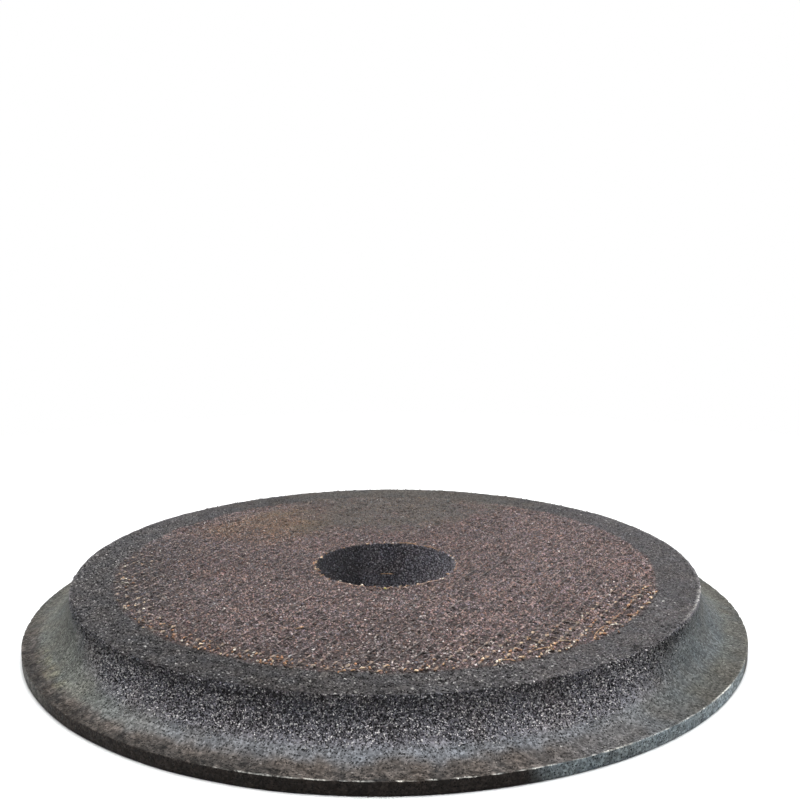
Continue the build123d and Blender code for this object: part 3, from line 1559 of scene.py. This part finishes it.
@dataclass
class FaceNet:
    """The woven glass-fibre net: two crossing layers of flat twisted yarns."""

    sizes: DiscSizes
    surface: Surface
    seed: int = 9
    half_width: float = 0.34 * MM
    half_thickness: float = 0.14 * MM
    sides: int = 6
    step: float = 1.15 * MM
    lower_rise: float = -0.05 * MM
    upper_rise: float = 0.14 * MM
    sunk: float = 0.07 * MM
    dusty: Colour = srgb(52, 45, 43)
    mauve: Colour = srgb(136, 117, 111)
    amber: Colour = srgb(176, 142, 110)
    straw: Colour = srgb(230, 206, 172)

    def _lengths(self, offset: float, rng: np.random.Generator) -> list[tuple[float, float]]:
        """Give where a yarn at this distance from the centre starts and ends, bore left out.

        Args:
            offset: The yarn's distance from the centre.
            rng: Where the random numbers come from.

        Returns:
            Start and end of each part of the yarn, along its layer.
        """
        reach = math.sqrt(self.sizes.net_radius**2 - offset**2)
        ends = reach + rng.uniform(-1.2, 0.4, 2) * MM
        bore = self.sizes.bore_radius + 0.1 * MM
        if abs(offset) >= bore:
            return [(-ends[0], ends[1])]
        inner = math.sqrt(bore**2 - offset**2) + rng.uniform(-0.35, 0.3, 2) * MM
        return [(-ends[0], -inner[0]), (inner[1], ends[1])]

    def build(self, material: bpy.types.Material) -> bpy.types.Object:
        """Lay every yarn of both layers.

        Args:
            material: What the yarns wear.

        Returns:
            The net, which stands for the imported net.
        """
        rng = np.random.default_rng(self.seed)
        piece = Piece("woven_net")
        for layer in self.surface.layers:
            per_side = int((self.sizes.net_radius - 2 * self.half_width) / layer.pitch)
            for number in range(-per_side, per_side + 1):
                offset = number * layer.pitch
                for span in self._lengths(offset, rng):
                    self._lay_yarn(piece, layer, offset, span, rng.random())
        net = piece.finish(material, True)
        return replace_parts(net, "face_net")

    def _lay_yarn(
        self, piece: Piece, layer: YarnLayer, offset: float, span: tuple[float, float], own: float
    ) -> None:
        """Lay one yarn, which swells and rises or dips where it crosses the other layer.

        Args:
            piece: The net, which takes the yarn.
            layer: The yarn's own layer.
            offset: Its distance from the centre.
            span: Where it starts and ends along its layer.
            own: A random number that sets its colour a little apart.
        """
        lower, upper = self.surface.layers
        other, rise = (upper, self.lower_rise) if layer is lower else (lower, self.upper_rise)
        turn = math.radians(layer.angle)
        along_way = np.array((math.cos(turn), math.sin(turn), 0.0))
        across_way = np.array((-math.sin(turn), math.cos(turn), 0.0))
        begin, end = span
        places, faces = ribbon(max(1, round((end - begin) / self.step)), self.sides)
        along = begin + places[:, 0] * (end - begin)
        middle = along[:, None] * along_way + offset * across_way
        knuckle = ramp(other.across(middle), 0.95 * MM, 0.25 * MM)
        bare = self._bareness(middle)
        frayed = self.surface.frayed(middle)
        torn = frayed * knuckle
        swell = 0.75 + 0.4 * knuckle + 0.8 * torn + 0.25 * clouds(middle, 2.5, 41)
        wander = 0.16 * MM * clouds(middle, 9, 42)
        level = layer.level - self.sunk + rise * (2 * knuckle - 1) + 0.20 * MM * (bare - 0.8)
        level += 0.07 * MM * clouds(middle, 3, 43) - 0.25 * MM * self.surface.cover(middle)
        across = offset + wander + places[:, 1] * (self.half_width * swell)
        spots = along[:, None] * along_way + across[:, None] * across_way
        spots[:, 2] = level + 0.08 * MM * torn + places[:, 2] * self.half_thickness * (1 + 0.6 * torn)
        shown = np.maximum(knuckle, 0.05 * frayed) if layer is upper else 0.15 * (1 - knuckle)
        piece.add(
            spots,
            faces,
            self.surface.net_chart(spots),
            tint=self._tint(middle, shown, bare, own),
            along=along,
            across=np.arctan2(places[:, 2], places[:, 1]),
        )

    def _bareness(self, middle: Array) -> Array:
        """Share to which a stretch of yarn stands free of the abrasive mix."""
        patchy = clouds(middle, 6, 44) + clouds(middle, 20, 49)
        return np.clip(0.5 + 0.35 * patchy + 0.6 * self.surface.frayed(middle), 0, 1)

    def _tint(self, middle: Array, shown: Array, bare: Array, own: float) -> Array:
        """Colour a yarn: dusty mauve, with amber where the resin shows and straw where it is torn.

        Args:
            middle: The yarn's middle at each vertex.
            shown: Share to which the yarn is seen there.
            bare: Share to which it stands free of the mix.
            own: A random number of the yarn's own.

        Returns:
            A linear colour for each vertex.
        """
        angle = plan_angle(middle)
        bore = self.sizes.bore_radius
        torn = self.surface.frayed(middle) * (0.35 + 0.65 * (0.5 + 0.5 * clouds(middle, 2.5, 45)))
        cut = ramp(off_axis(middle), bore + 2.2 * MM, bore)
        cut *= 0.2 + 0.8 * ramp(clouds(middle, 7, 50), -0.3, 0.3)
        glow = ramp(clouds(middle, 3.2, 46) + 0.4 * own, 0.35, 1.0)
        dull = sector(angle, -48, -10, 10) + 1.3 * sector(angle, 222, 254, 12)
        warm = 1 - 0.8 * sector(angle, 160, 212, 14) - 0.3 * dull
        straw = 0.6 * torn * shown * ramp(clouds(middle, 1.4, 47), -0.5, 0.3)
        paint = Paint(self.dusty, len(middle))
        paint.lay(self.mauve, shown * (0.2 + 0.6 * bare))
        paint.lay(self.amber, np.clip(0.25 * glow * shown + warm * torn * 0.9 * shown + 0.9 * cut, 0, 1))
        paint.lay(self.straw, straw * (1 - 0.4 * dull))
        return paint.colour * (1 + 0.35 * clouds(middle, 0.9, 48))[:, None]


@dataclass(frozen=True)
class Strand:
    """One loose or torn bit of yarn: where it starts, how it runs and what colour it has."""

    start: tuple[float, float, float]
    heading: float
    length: float
    curl: float
    thick: float
    lift: float
    colour: Colour

    def path(self, share: Array) -> Array:
        """Give the strand's middle line.

        Args:
            share: How far along the strand, from 0 to 1.

        Returns:
            Places in space, one row each.
        """
        steps = np.linspace(0, 1, 33)
        bearing = math.radians(self.heading) + math.radians(self.curl) * (steps - 0.15)
        stride = self.length / (len(steps) - 1)
        walk = np.stack((np.cos(bearing), np.sin(bearing)), 1)
        flat = np.vstack(((0.0, 0.0), np.cumsum(0.5 * (walk[1:] + walk[:-1]) * stride, axis=0)))
        x = self.start[0] + np.interp(share, steps, flat[:, 0])
        y = self.start[1] + np.interp(share, steps, flat[:, 1])
        z = self.start[2] + self.lift * np.sin(math.pi * share)
        return np.stack((x, y, z), 1)


@dataclass
class FrayedYarns:
    """Torn bits of yarn along the net's edge and round the bore, and the few long loose ones."""

    sizes: DiscSizes
    surface: Surface
    seed: int = 21
    edge_count: int = 330
    sides: int = 5
    step: float = 0.55 * MM
    colours: tuple[Colour, ...] = (
        srgb(222, 196, 164),
        srgb(188, 148, 110),
        srgb(158, 114, 82),
        srgb(128, 92, 68),
        srgb(232, 222, 206),
    )
    colour_shares: tuple[float, ...] = (0.24, 0.26, 0.19, 0.20, 0.11)
    dusty: tuple[Colour, ...] = (
        srgb(188, 180, 166),
        srgb(130, 120, 112),
        srgb(96, 86, 80),
        srgb(160, 140, 118),
    )
    pink: Colour = srgb(190, 158, 140)
    yellow: Colour = srgb(196, 186, 104)

    def _edge_colour(self, bearing: float, rng: np.random.Generator) -> Colour:
        """Pick a torn end's colour, paler and greyer on the left.

        Args:
            bearing: Plan angle in radians.
            rng: Where the random numbers come from.

        Returns:
            A linear colour.
        """
        dull = sector(bearing, -48, -10, 10) + 1.6 * sector(bearing, 222, 254, 12)
        if rng.random() < 0.8 * sector(bearing, 160, 212, 14):
            return self.dusty[rng.integers(len(self.dusty))]
        if rng.random() < 0.4 * dull:
            return self.colours[rng.integers(2, 4)]
        return self._any_colour(rng)

    def _any_colour(self, rng: np.random.Generator) -> Colour:
        """Pick one of the yarns' colours."""
        return self.colours[rng.choice(len(self.colours), p=self.colour_shares)]

    def _edge_strands(self, rng: np.random.Generator) -> list[Strand]:
        """Draw the torn ends along the near edge of the net.

        Args:
            rng: Where the random numbers come from.

        Returns:
            The torn ends.
        """
        strands = []
        while len(strands) < self.edge_count:
            bearing = rng.uniform(-math.pi, math.pi)
            radius = self.sizes.net_radius - abs(rng.normal(0, 4.5)) * MM + 0.3 * MM
            x, y = radius * math.cos(bearing), radius * math.sin(bearing)
            share = self.surface.frayed(np.array(((x, y, self.sizes.height),)))[0]
            if rng.random() > share**1.5:
                continue
            layer = self.surface.layers[int(rng.random() < 0.75)]
            in_rows = sector(bearing, -75, -15, 10)
            if rng.random() < in_rows:
                x, y = layer.snapped(x, y, rng.normal(0, 0.3) * MM)
            heading = layer.angle + 180 * (rng.random() < 0.5) + rng.normal(0, 34 - 18 * in_rows)
            strands.append(
                Strand(
                    start=(x, y, self.sizes.height + rng.uniform(-0.12, 0.05) * MM),
                    heading=heading,
                    length=rng.uniform(0.5, 1.5) * MM,
                    curl=rng.normal(0, 70),
                    thick=rng.uniform(0.22, 0.42) * MM,
                    lift=rng.uniform(0.0, 0.30) * MM,
                    colour=self._edge_colour(bearing, rng),
                )
            )
        return strands

    def _bore_strands(self, rng: np.random.Generator) -> list[Strand]:
        """Draw the cut yarn ends that stick out round the bore.

        Args:
            rng: Where the random numbers come from.

        Returns:
            The cut ends.
        """
        strands = []
        for layer in self.surface.layers:
            reach = int(self.sizes.bore_radius / layer.pitch)
            turn = math.radians(layer.angle)
            for number, side in itertools.product(range(-reach, reach + 1), (-1, 1)):
                offset = number * layer.pitch
                along = side * math.sqrt(self.sizes.bore_radius**2 - offset**2)
                x = along * math.cos(turn) - offset * math.sin(turn)
                y = along * math.sin(turn) + offset * math.cos(turn)
                ragged = 0.5 + 2.5 * float(sector(math.atan2(y, x), 165, 330, 15))
                for _ in range(rng.poisson(ragged)):
                    strands.append(
                        Strand(
                            start=(1.02 * x, 1.02 * y, self.sizes.height - rng.uniform(0.1, 0.45) * MM),
                            heading=layer.angle + (180 if side > 0 else 0) + rng.normal(0, 28),
                            length=rng.uniform(0.6, 1.5) * MM,
                            curl=rng.normal(0, 70),
                            thick=rng.uniform(0.16, 0.34) * MM,
                            lift=rng.uniform(0.1, 0.4) * MM,
                            colour=self._any_colour(rng),
                        )
                    )
        return strands

    def _long_strands(self) -> list[Strand]:
        """Name the few long loose yarns that catch the eye, and the crumbs of yarn round the bore.

        Returns:
            The long yarns and the crumbs.
        """
        top = self.sizes.height + 0.06 * MM
        cream, amber, brown, dull, pale = self.colours
        # X, Y and how far sunk, heading in degrees, length, curl in degrees, thickness, lift, colour
        rows = (
            (62.4, -70.5, 0.0, 66, 10.5, -14, 0.15, 0.20, amber),
            (69.4, -58.3, 0.0, 52, 9.0, 16, 0.12, 0.12, dull),
            (68.8, -61.4, 0.0, -8, 4.2, 14, 0.24, 0.50, pale),
            (43.5, -80.3, 0.0, 12, 7.0, 40, 0.20, 0.35, amber),
            (51.0, -73.5, 0.0, -12, 4.2, 30, 0.22, 0.30, cream),
            (32.0, -88.5, 0.0, 20, 5.5, -40, 0.26, 0.30, amber),
            (4.6, 24.7, 0.1, 356, 8.5, -44, 0.20, 0.10, amber),
            (14.0, 21.0, 0.1, 322, 7.0, -18, 0.17, 0.20, amber),
            (-26.8, -63.5, 0.0, 20, 3.4, 50, 0.34, 0.20, amber),
            (-15.3, -20.3, 0.1, -40, 9.0, 26, 0.17, 0.10, self.pink),
            (10.6, -23.5, 0.1, 28, 9.5, 22, 0.16, 0.15, self.pink),
            (-26.0, -1.0, 0.0, 84, 2.6, 20, 0.36, 0.10, brown),
            (-15.8, -19.7, 0.0, 10, 0.9, 0, 0.42, 0.15, pale),
            (-8.2, -24.2, 0.0, 30, 0.9, 0, 0.42, 0.15, pale),
            (19.6, -17.8, 0.0, 60, 1.1, 0, 0.45, 0.15, pale),
            (-0.4, -27.4, 0.0, 0, 1.0, 0, 0.36, 0.10, self.yellow),
        )
        strands = []
        for x, y, sunk, heading, length, curl, thick, lift, colour in rows:
            start = (x * MM, y * MM, top - sunk * MM)
            strands.append(Strand(start, heading, length * MM, curl, thick * MM, lift * MM, colour))
        return strands

    def _wall_strand(self) -> Strand:
        """The end of a deeper yarn that shows in the wall of the bore.

        Returns:
            The one strand.
        """
        bearing = math.radians(96)
        radius = self.sizes.bore_radius - 0.02 * MM
        start = (radius * math.cos(bearing), radius * math.sin(bearing), 7.6 * MM)
        return Strand(start, 0, 5.6 * MM, -13, 0.22 * MM, 0.15 * MM, self.colours[1])

    def build(self, material: bpy.types.Material) -> bpy.types.Object:
        """Make every strand as one piece.

        Args:
            material: What the strands wear.

        Returns:
            The finished piece.
        """
        rng = np.random.default_rng(self.seed)
        piece = Piece("frayed_yarns")
        strands = self._edge_strands(rng) + self._bore_strands(rng) + self._long_strands()
        for strand in [*strands, self._wall_strand()]:
            places, faces = ribbon(max(2, round(strand.length / self.step)), self.sides)
            share = places[:, 0]
            middle = strand.path(share)
            ahead = strand.path(np.minimum(share + 0.02, 1.0)) - strand.path(np.maximum(share - 0.02, 0.0))
            ahead /= np.linalg.norm(ahead, axis=1)[:, None]
            level = np.cross((0.0, 0.0, 1.0), ahead)
            upright = np.cross(ahead, level)
            swell = np.sqrt(np.clip(1 - (2 * share - 1) ** 4, 0.05, 1)) * strand.thick
            swell *= 1 + 0.3 * clouds(middle, 1.1, 51)
            spots = middle + (swell * places[:, 1])[:, None] * level
            spots += (0.75 * swell * places[:, 2])[:, None] * upright
            shade = 1 + 0.35 * clouds(middle, 1.3, 52)
            piece.add(
                spots,
                faces,
                self.surface.net_chart(spots),
                tint=np.array(strand.colour) * shade[:, None],
                along=strand.length * share,
                across=np.arctan2(places[:, 2], places[:, 1]),
            )
        return piece.finish(material, True)


@dataclass(frozen=True)
class SoftBox:
    """One soft lamp: where its middle hangs, how wide and high it is, its power in watts and its colour."""

    name: str
    place: tuple[float, float, float]
    wide: float
    high: float
    watts: float
    colour: Colour

    def hang(self) -> None:
        """Hang the lamp so that it faces the disc."""
        light = bpy.data.lights.new(self.name, "AREA")
        light.shape = "RECTANGLE"
        light.size, light.size_y = self.wide, self.high
        light.energy = self.watts
        light.color = self.colour
        lamp = bpy.data.objects.new(self.name, light)
        lamp.location = self.place
        lamp.rotation_euler = Vector(self.place).to_track_quat("Z", "Y").to_euler()
        bpy.context.scene.collection.objects.link(lamp)


class Studio:
    """Pale floor, soft lamps and the camera. None of it belongs to the disc."""

    floor_size = 3.0
    floor_grey = (0.25, 0.25, 0.25)
    floor_white = (0.93, 0.93, 0.93)
    fade_start, fade_end = 0.17, 0.42
    room_light = (0.12, 0.125, 0.13)
    room_white = (1.0, 1.0, 1.0)
    camera_place = (5.334 * MM, -377.213 * MM, 142.884 * MM)
    camera_turn = (math.radians(80.4557), math.radians(0.2245), math.radians(-0.0378))
    camera_lens = 49.12
    camera_sensor = 36.0
    lamps = (
        SoftBox("overhead", (0.05, 0.05, 1.1), 0.9, 0.9, 20.5, (0.98, 0.99, 1.0)),
        SoftBox("right_box", (1.0, -0.1, 0.5), 0.6, 0.6, 4.0, (0.97, 0.99, 1.0)),
        SoftBox("left_box", (-1.0, 0.2, 0.5), 0.6, 0.6, 3.6, (1.0, 1.0, 0.98)),
        SoftBox("back_box", (0.1, 1.0, 0.8), 1.0, 0.6, 2.0, (0.98, 0.99, 1.0)),
    )

    def build(self) -> None:
        """Set up the whole studio."""
        scene = bpy.context.scene
        scene.view_settings.view_transform = "Standard"
        self._camera(scene)
        self._world(scene)
        self._floor()
        for lamp in self.lamps:
            lamp.hang()

    def _camera(self, scene: bpy.types.Scene) -> None:
        """Put the camera where the photograph was taken from.

        Args:
            scene: The scene to set up.
        """
        lens = bpy.data.cameras.new("camera")
        lens.lens = self.camera_lens
        lens.sensor_width = self.camera_sensor
        lens.clip_start, lens.clip_end = 0.01, 20.0
        camera = bpy.data.objects.new("camera", lens)
        camera.location = self.camera_place
        camera.rotation_euler = Euler(self.camera_turn)
        scene.collection.objects.link(camera)
        scene.camera = camera

    def _white_to(self, bench: Bench) -> bpy.types.NodeSocket:
        """Tell the rays of the lens, of gloss and of glass from the rays that light things.

        Args:
            bench: The node tree to work on.

        Returns:
            An output that is 1 for those rays and 0 for the rest.
        """
        path = bench.node("LightPath")
        lens_or_gloss = bench.maths("MAXIMUM", path.outputs["Is Camera Ray"], path.outputs["Is Glossy Ray"])
        return bench.maths("MAXIMUM", lens_or_gloss, path.outputs["Is Transmission Ray"])

    def _world(self, scene: bpy.types.Scene) -> None:
        """Fill the room with weak light, while the lens and gloss see a white room.

        Args:
            scene: The scene to set up.
        """
        world = bpy.data.worlds.new("studio")
        world.use_nodes = True
        bench = Bench(world.node_tree)
        sky = world.node_tree.nodes["Background"]
        seen = self._white_to(bench)
        bench.feed(sky.inputs["Color"], bench.blend("MIX", seen, self.room_light, self.room_white))
        scene.world = world

    def _floor(self) -> None:
        """Lay a pale floor that fades into the white room."""
        sheet = bmesh.new()
        bmesh.ops.create_grid(sheet, x_segments=1, y_segments=1, size=self.floor_size)
        mesh = bpy.data.meshes.new("floor")
        sheet.to_mesh(mesh)
        sheet.free()
        floor = bpy.data.objects.new("floor", mesh)
        bpy.context.scene.collection.objects.link(floor)
        material, bench, shader = new_material("floor_paper")
        seen = self._white_to(bench)
        shader.inputs["Roughness"].default_value = 1.0
        shader.inputs["Specular IOR Level"].default_value = 0.0
        paper = bench.blend("MIX", seen, self.floor_grey, self.floor_white)
        bench.feed(shader.inputs["Base Color"], paper)
        place = bench.node("TexCoord").outputs["Object"]
        away = bench.node("VectorMath", {0: place}, operation="LENGTH").outputs["Value"]
        fade = bench.maths("MULTIPLY", bench.mapped(away, self.fade_start, self.fade_end, 0.0, 1.0), seen)
        clear = bench.node("BsdfTransparent")
        mixed = bench.node("MixShader", {0: fade, 1: shader.outputs[0], 2: clear.outputs[0]})
        bench.feed(bench.tree.nodes["Material Output"].inputs["Surface"], mixed.outputs[0])
        mesh.materials.append(material)


class GritBands:
    """Where crystals stand on the disc, and of what size, in each part of its surface."""

    def __init__(self, sizes: DiscSizes, section: Section, surface: Surface) -> None:
        """Keep what the bands are measured on.

        Args:
            sizes: The disc's sizes.
            section: The disc's half section.
            surface: What lies where on the disc.
        """
        self.sizes = sizes
        self.section = section
        self.surface = surface

    def _cells(self, walked: Array, points: Array) -> Array:
        """Keep few crystals where a yarn lies bare, and most of them in the meshes.

        Args:
            walked: Not used.
            points: Places in metres, one row each.

        Returns:
            The share of crystals kept at each place.
        """
        lower, upper = self.surface.layers
        frayed = self.surface.frayed(points)
        on_upper = ramp(upper.across(points), 0.60 * MM, 0.35 * MM)
        knuckle = ramp(lower.across(points), 1.0 * MM, 0.5 * MM)
        on_lower = 0.2 * ramp(lower.across(points), 0.55 * MM, 0.3 * MM)
        bare = np.maximum(knuckle, 0.1 * frayed)
        on_yarn = np.maximum(on_upper * (0.15 + 0.85 * bare), on_lower)
        on_yarn = on_yarn * self.surface.in_net(points) * (1 - self.surface.cover(points))
        return 0.96 - 0.8 * on_yarn - 0.15 * frayed

    def _margin(self, walked: Array, points: Array) -> Array:
        """Keep most crystals, but fewer at the far side, where the edge is worn smooth.

        Args:
            walked: Not used.
            points: Places in metres, one row each.

        Returns:
            The share of crystals kept at each place.
        """
        edge = self.sizes.face_radius
        far = sector(plan_angle(points), 30, 150, 25)
        return 0.96 - 0.7 * far * ramp(off_axis(points), edge - 6 * MM, edge - 2 * MM)

    def _open(self, walked: Array, points: Array) -> Array:
        """Keep crystals where the moulding's grain is open."""
        return 0.90 * self.surface.openness(walked, points)

    def _lip_marks(self, walked: Array, points: Array) -> Array:
        """Keep a few pale marks on the smooth lip, most of them in front."""
        side = 0.12 + 0.65 * sector(plan_angle(points), 200, 300, 28)
        return side * (0.3 + 0.7 * ramp(clouds(points, 4.0, 64), -0.6, 0.4))

    def _rim_chips(self, walked: Array, points: Array) -> Array:
        """Keep pale chips in a broken line, longest on the near right side, where they are partly a painted
        highlight.
        """
        side = 0.12 + 0.45 * sector(plan_angle(points), -118, -32, 20)
        return 0.7 * side * ramp(clouds(points, 3.5, 61) + 0.5 * clouds(points, 14, 62), 0.0, 0.5)

    def _face_chips(self, walked: Array, points: Array) -> Array:
        """Keep pale chips along the right edge of the face, and a few elsewhere."""
        share = 0.01 + 0.60 * sector(plan_angle(points), -31, -16, 3)
        return share * ramp(clouds(points, 3.0, 63), -0.4, 0.2)

    def bands(self) -> tuple[GritBand, ...]:
        """List every band of crystals.

        Returns:
            The bands, in the order in which they are built.
        """
        reach = self.section.reach
        face_start, face_end = reach(Zone.FACE)
        bore_end, inner_start = face_start - 0.6 * MM, face_start - 0.5 * MM
        halfway, net_end = face_start + 50 * MM, face_start + 70 * MM
        edge_start, edge_end = reach(Zone.FACE_EDGE)[0], reach(Zone.WALL)[0]
        cove_start, cove_end = reach(Zone.COVE)
        cove_half, lip_start = cove_start + 8 * MM, cove_end - 6 * MM
        rim_start, rim_end = reach(Zone.RIM_EDGE)
        # Name, start, end, then pitch, size, lift and cap in millimetres, what is kept, and the palette
        rows = (
            ("face_grit_inner", inner_start, halfway, (0.86, 0.90, 0.12, 0.10), self._cells, NET_GRAIN),
            ("face_grit_outer", halfway, net_end, (0.80, 0.86, 0.12, 0.12), self._cells, RAGGED_GRAIN),
            ("face_grit_margin", net_end, face_end, (0.74, 0.78, 0.10, 0.06), self._margin, PRESSED_GRAIN),
            ("cove_grit_upper", edge_end, cove_half, (0.43, 0.52, 0.12, 0.18), self._open, COVE_GRAIN),
            ("cove_grit_lower", cove_half, cove_end, (0.43, 0.52, 0.10, 0.16), self._open, COVE_GRAIN),
            ("bore_grit", 0.6 * MM, bore_end, (0.90, 0.90, 0.10, 0.12), self._margin, SMOOTH_GRAIN),
            ("lip_marks", lip_start, rim_start, (0.80, 0.85, 0.05, 0.10), self._lip_marks, PALE_CHIPS),
            ("rim_chips", rim_start, rim_end, (0.42, 0.42, 0.05, 0.10), self._rim_chips, WHITE_CHIPS),
            ("face_chips", edge_start, edge_end, (0.50, 0.60, 0.10, 0.20), self._face_chips, WHITE_CHIPS),
        )
        return tuple(
            GritBand(name, start, end, *(length * MM for length in lengths), keep, palette)
            for name, start, end, lengths, keep, palette in rows
        )


def main() -> None:
    """Build the studio and every piece of the disc."""
    logging.basicConfig(level=logging.INFO, format="%(name)s %(message)s")
    Studio().build()
    sizes = DiscSizes.from_frame()
    section = Section(sizes)
    surface = Surface(sizes, section)
    grain, twist = grain_group(), twist_group()
    shell_finish = GritFinish(
        "bonded_shell", grain_size=0.6 * MM, contrast=1.8, shine=0.3, bump=0.7, specular=0.14
    ).make(grain)
    crystal_finish = GritFinish(
        "grit_crystals",
        grain_size=0.35 * MM,
        contrast=0.7,
        shine=0.45,
        bump=0.25,
        by_crystal=True,
        specular=0.2,
    ).make(grain)
    yarn_finish = YarnFinish("glass_yarn", filaments=3.0, bump=0.6, roughness=0.55).make(twist)
    MouldedBody(sizes, section, surface).build(shell_finish)
    coat = GritCoat(section, surface)
    for band in GritBands(sizes, section, surface).bands():
        coat.build(band, crystal_finish)
    FaceNet(sizes, surface).build(yarn_finish)
    FrayedYarns(sizes, surface).build(yarn_finish)


if __name__ == "__main__":
    main()
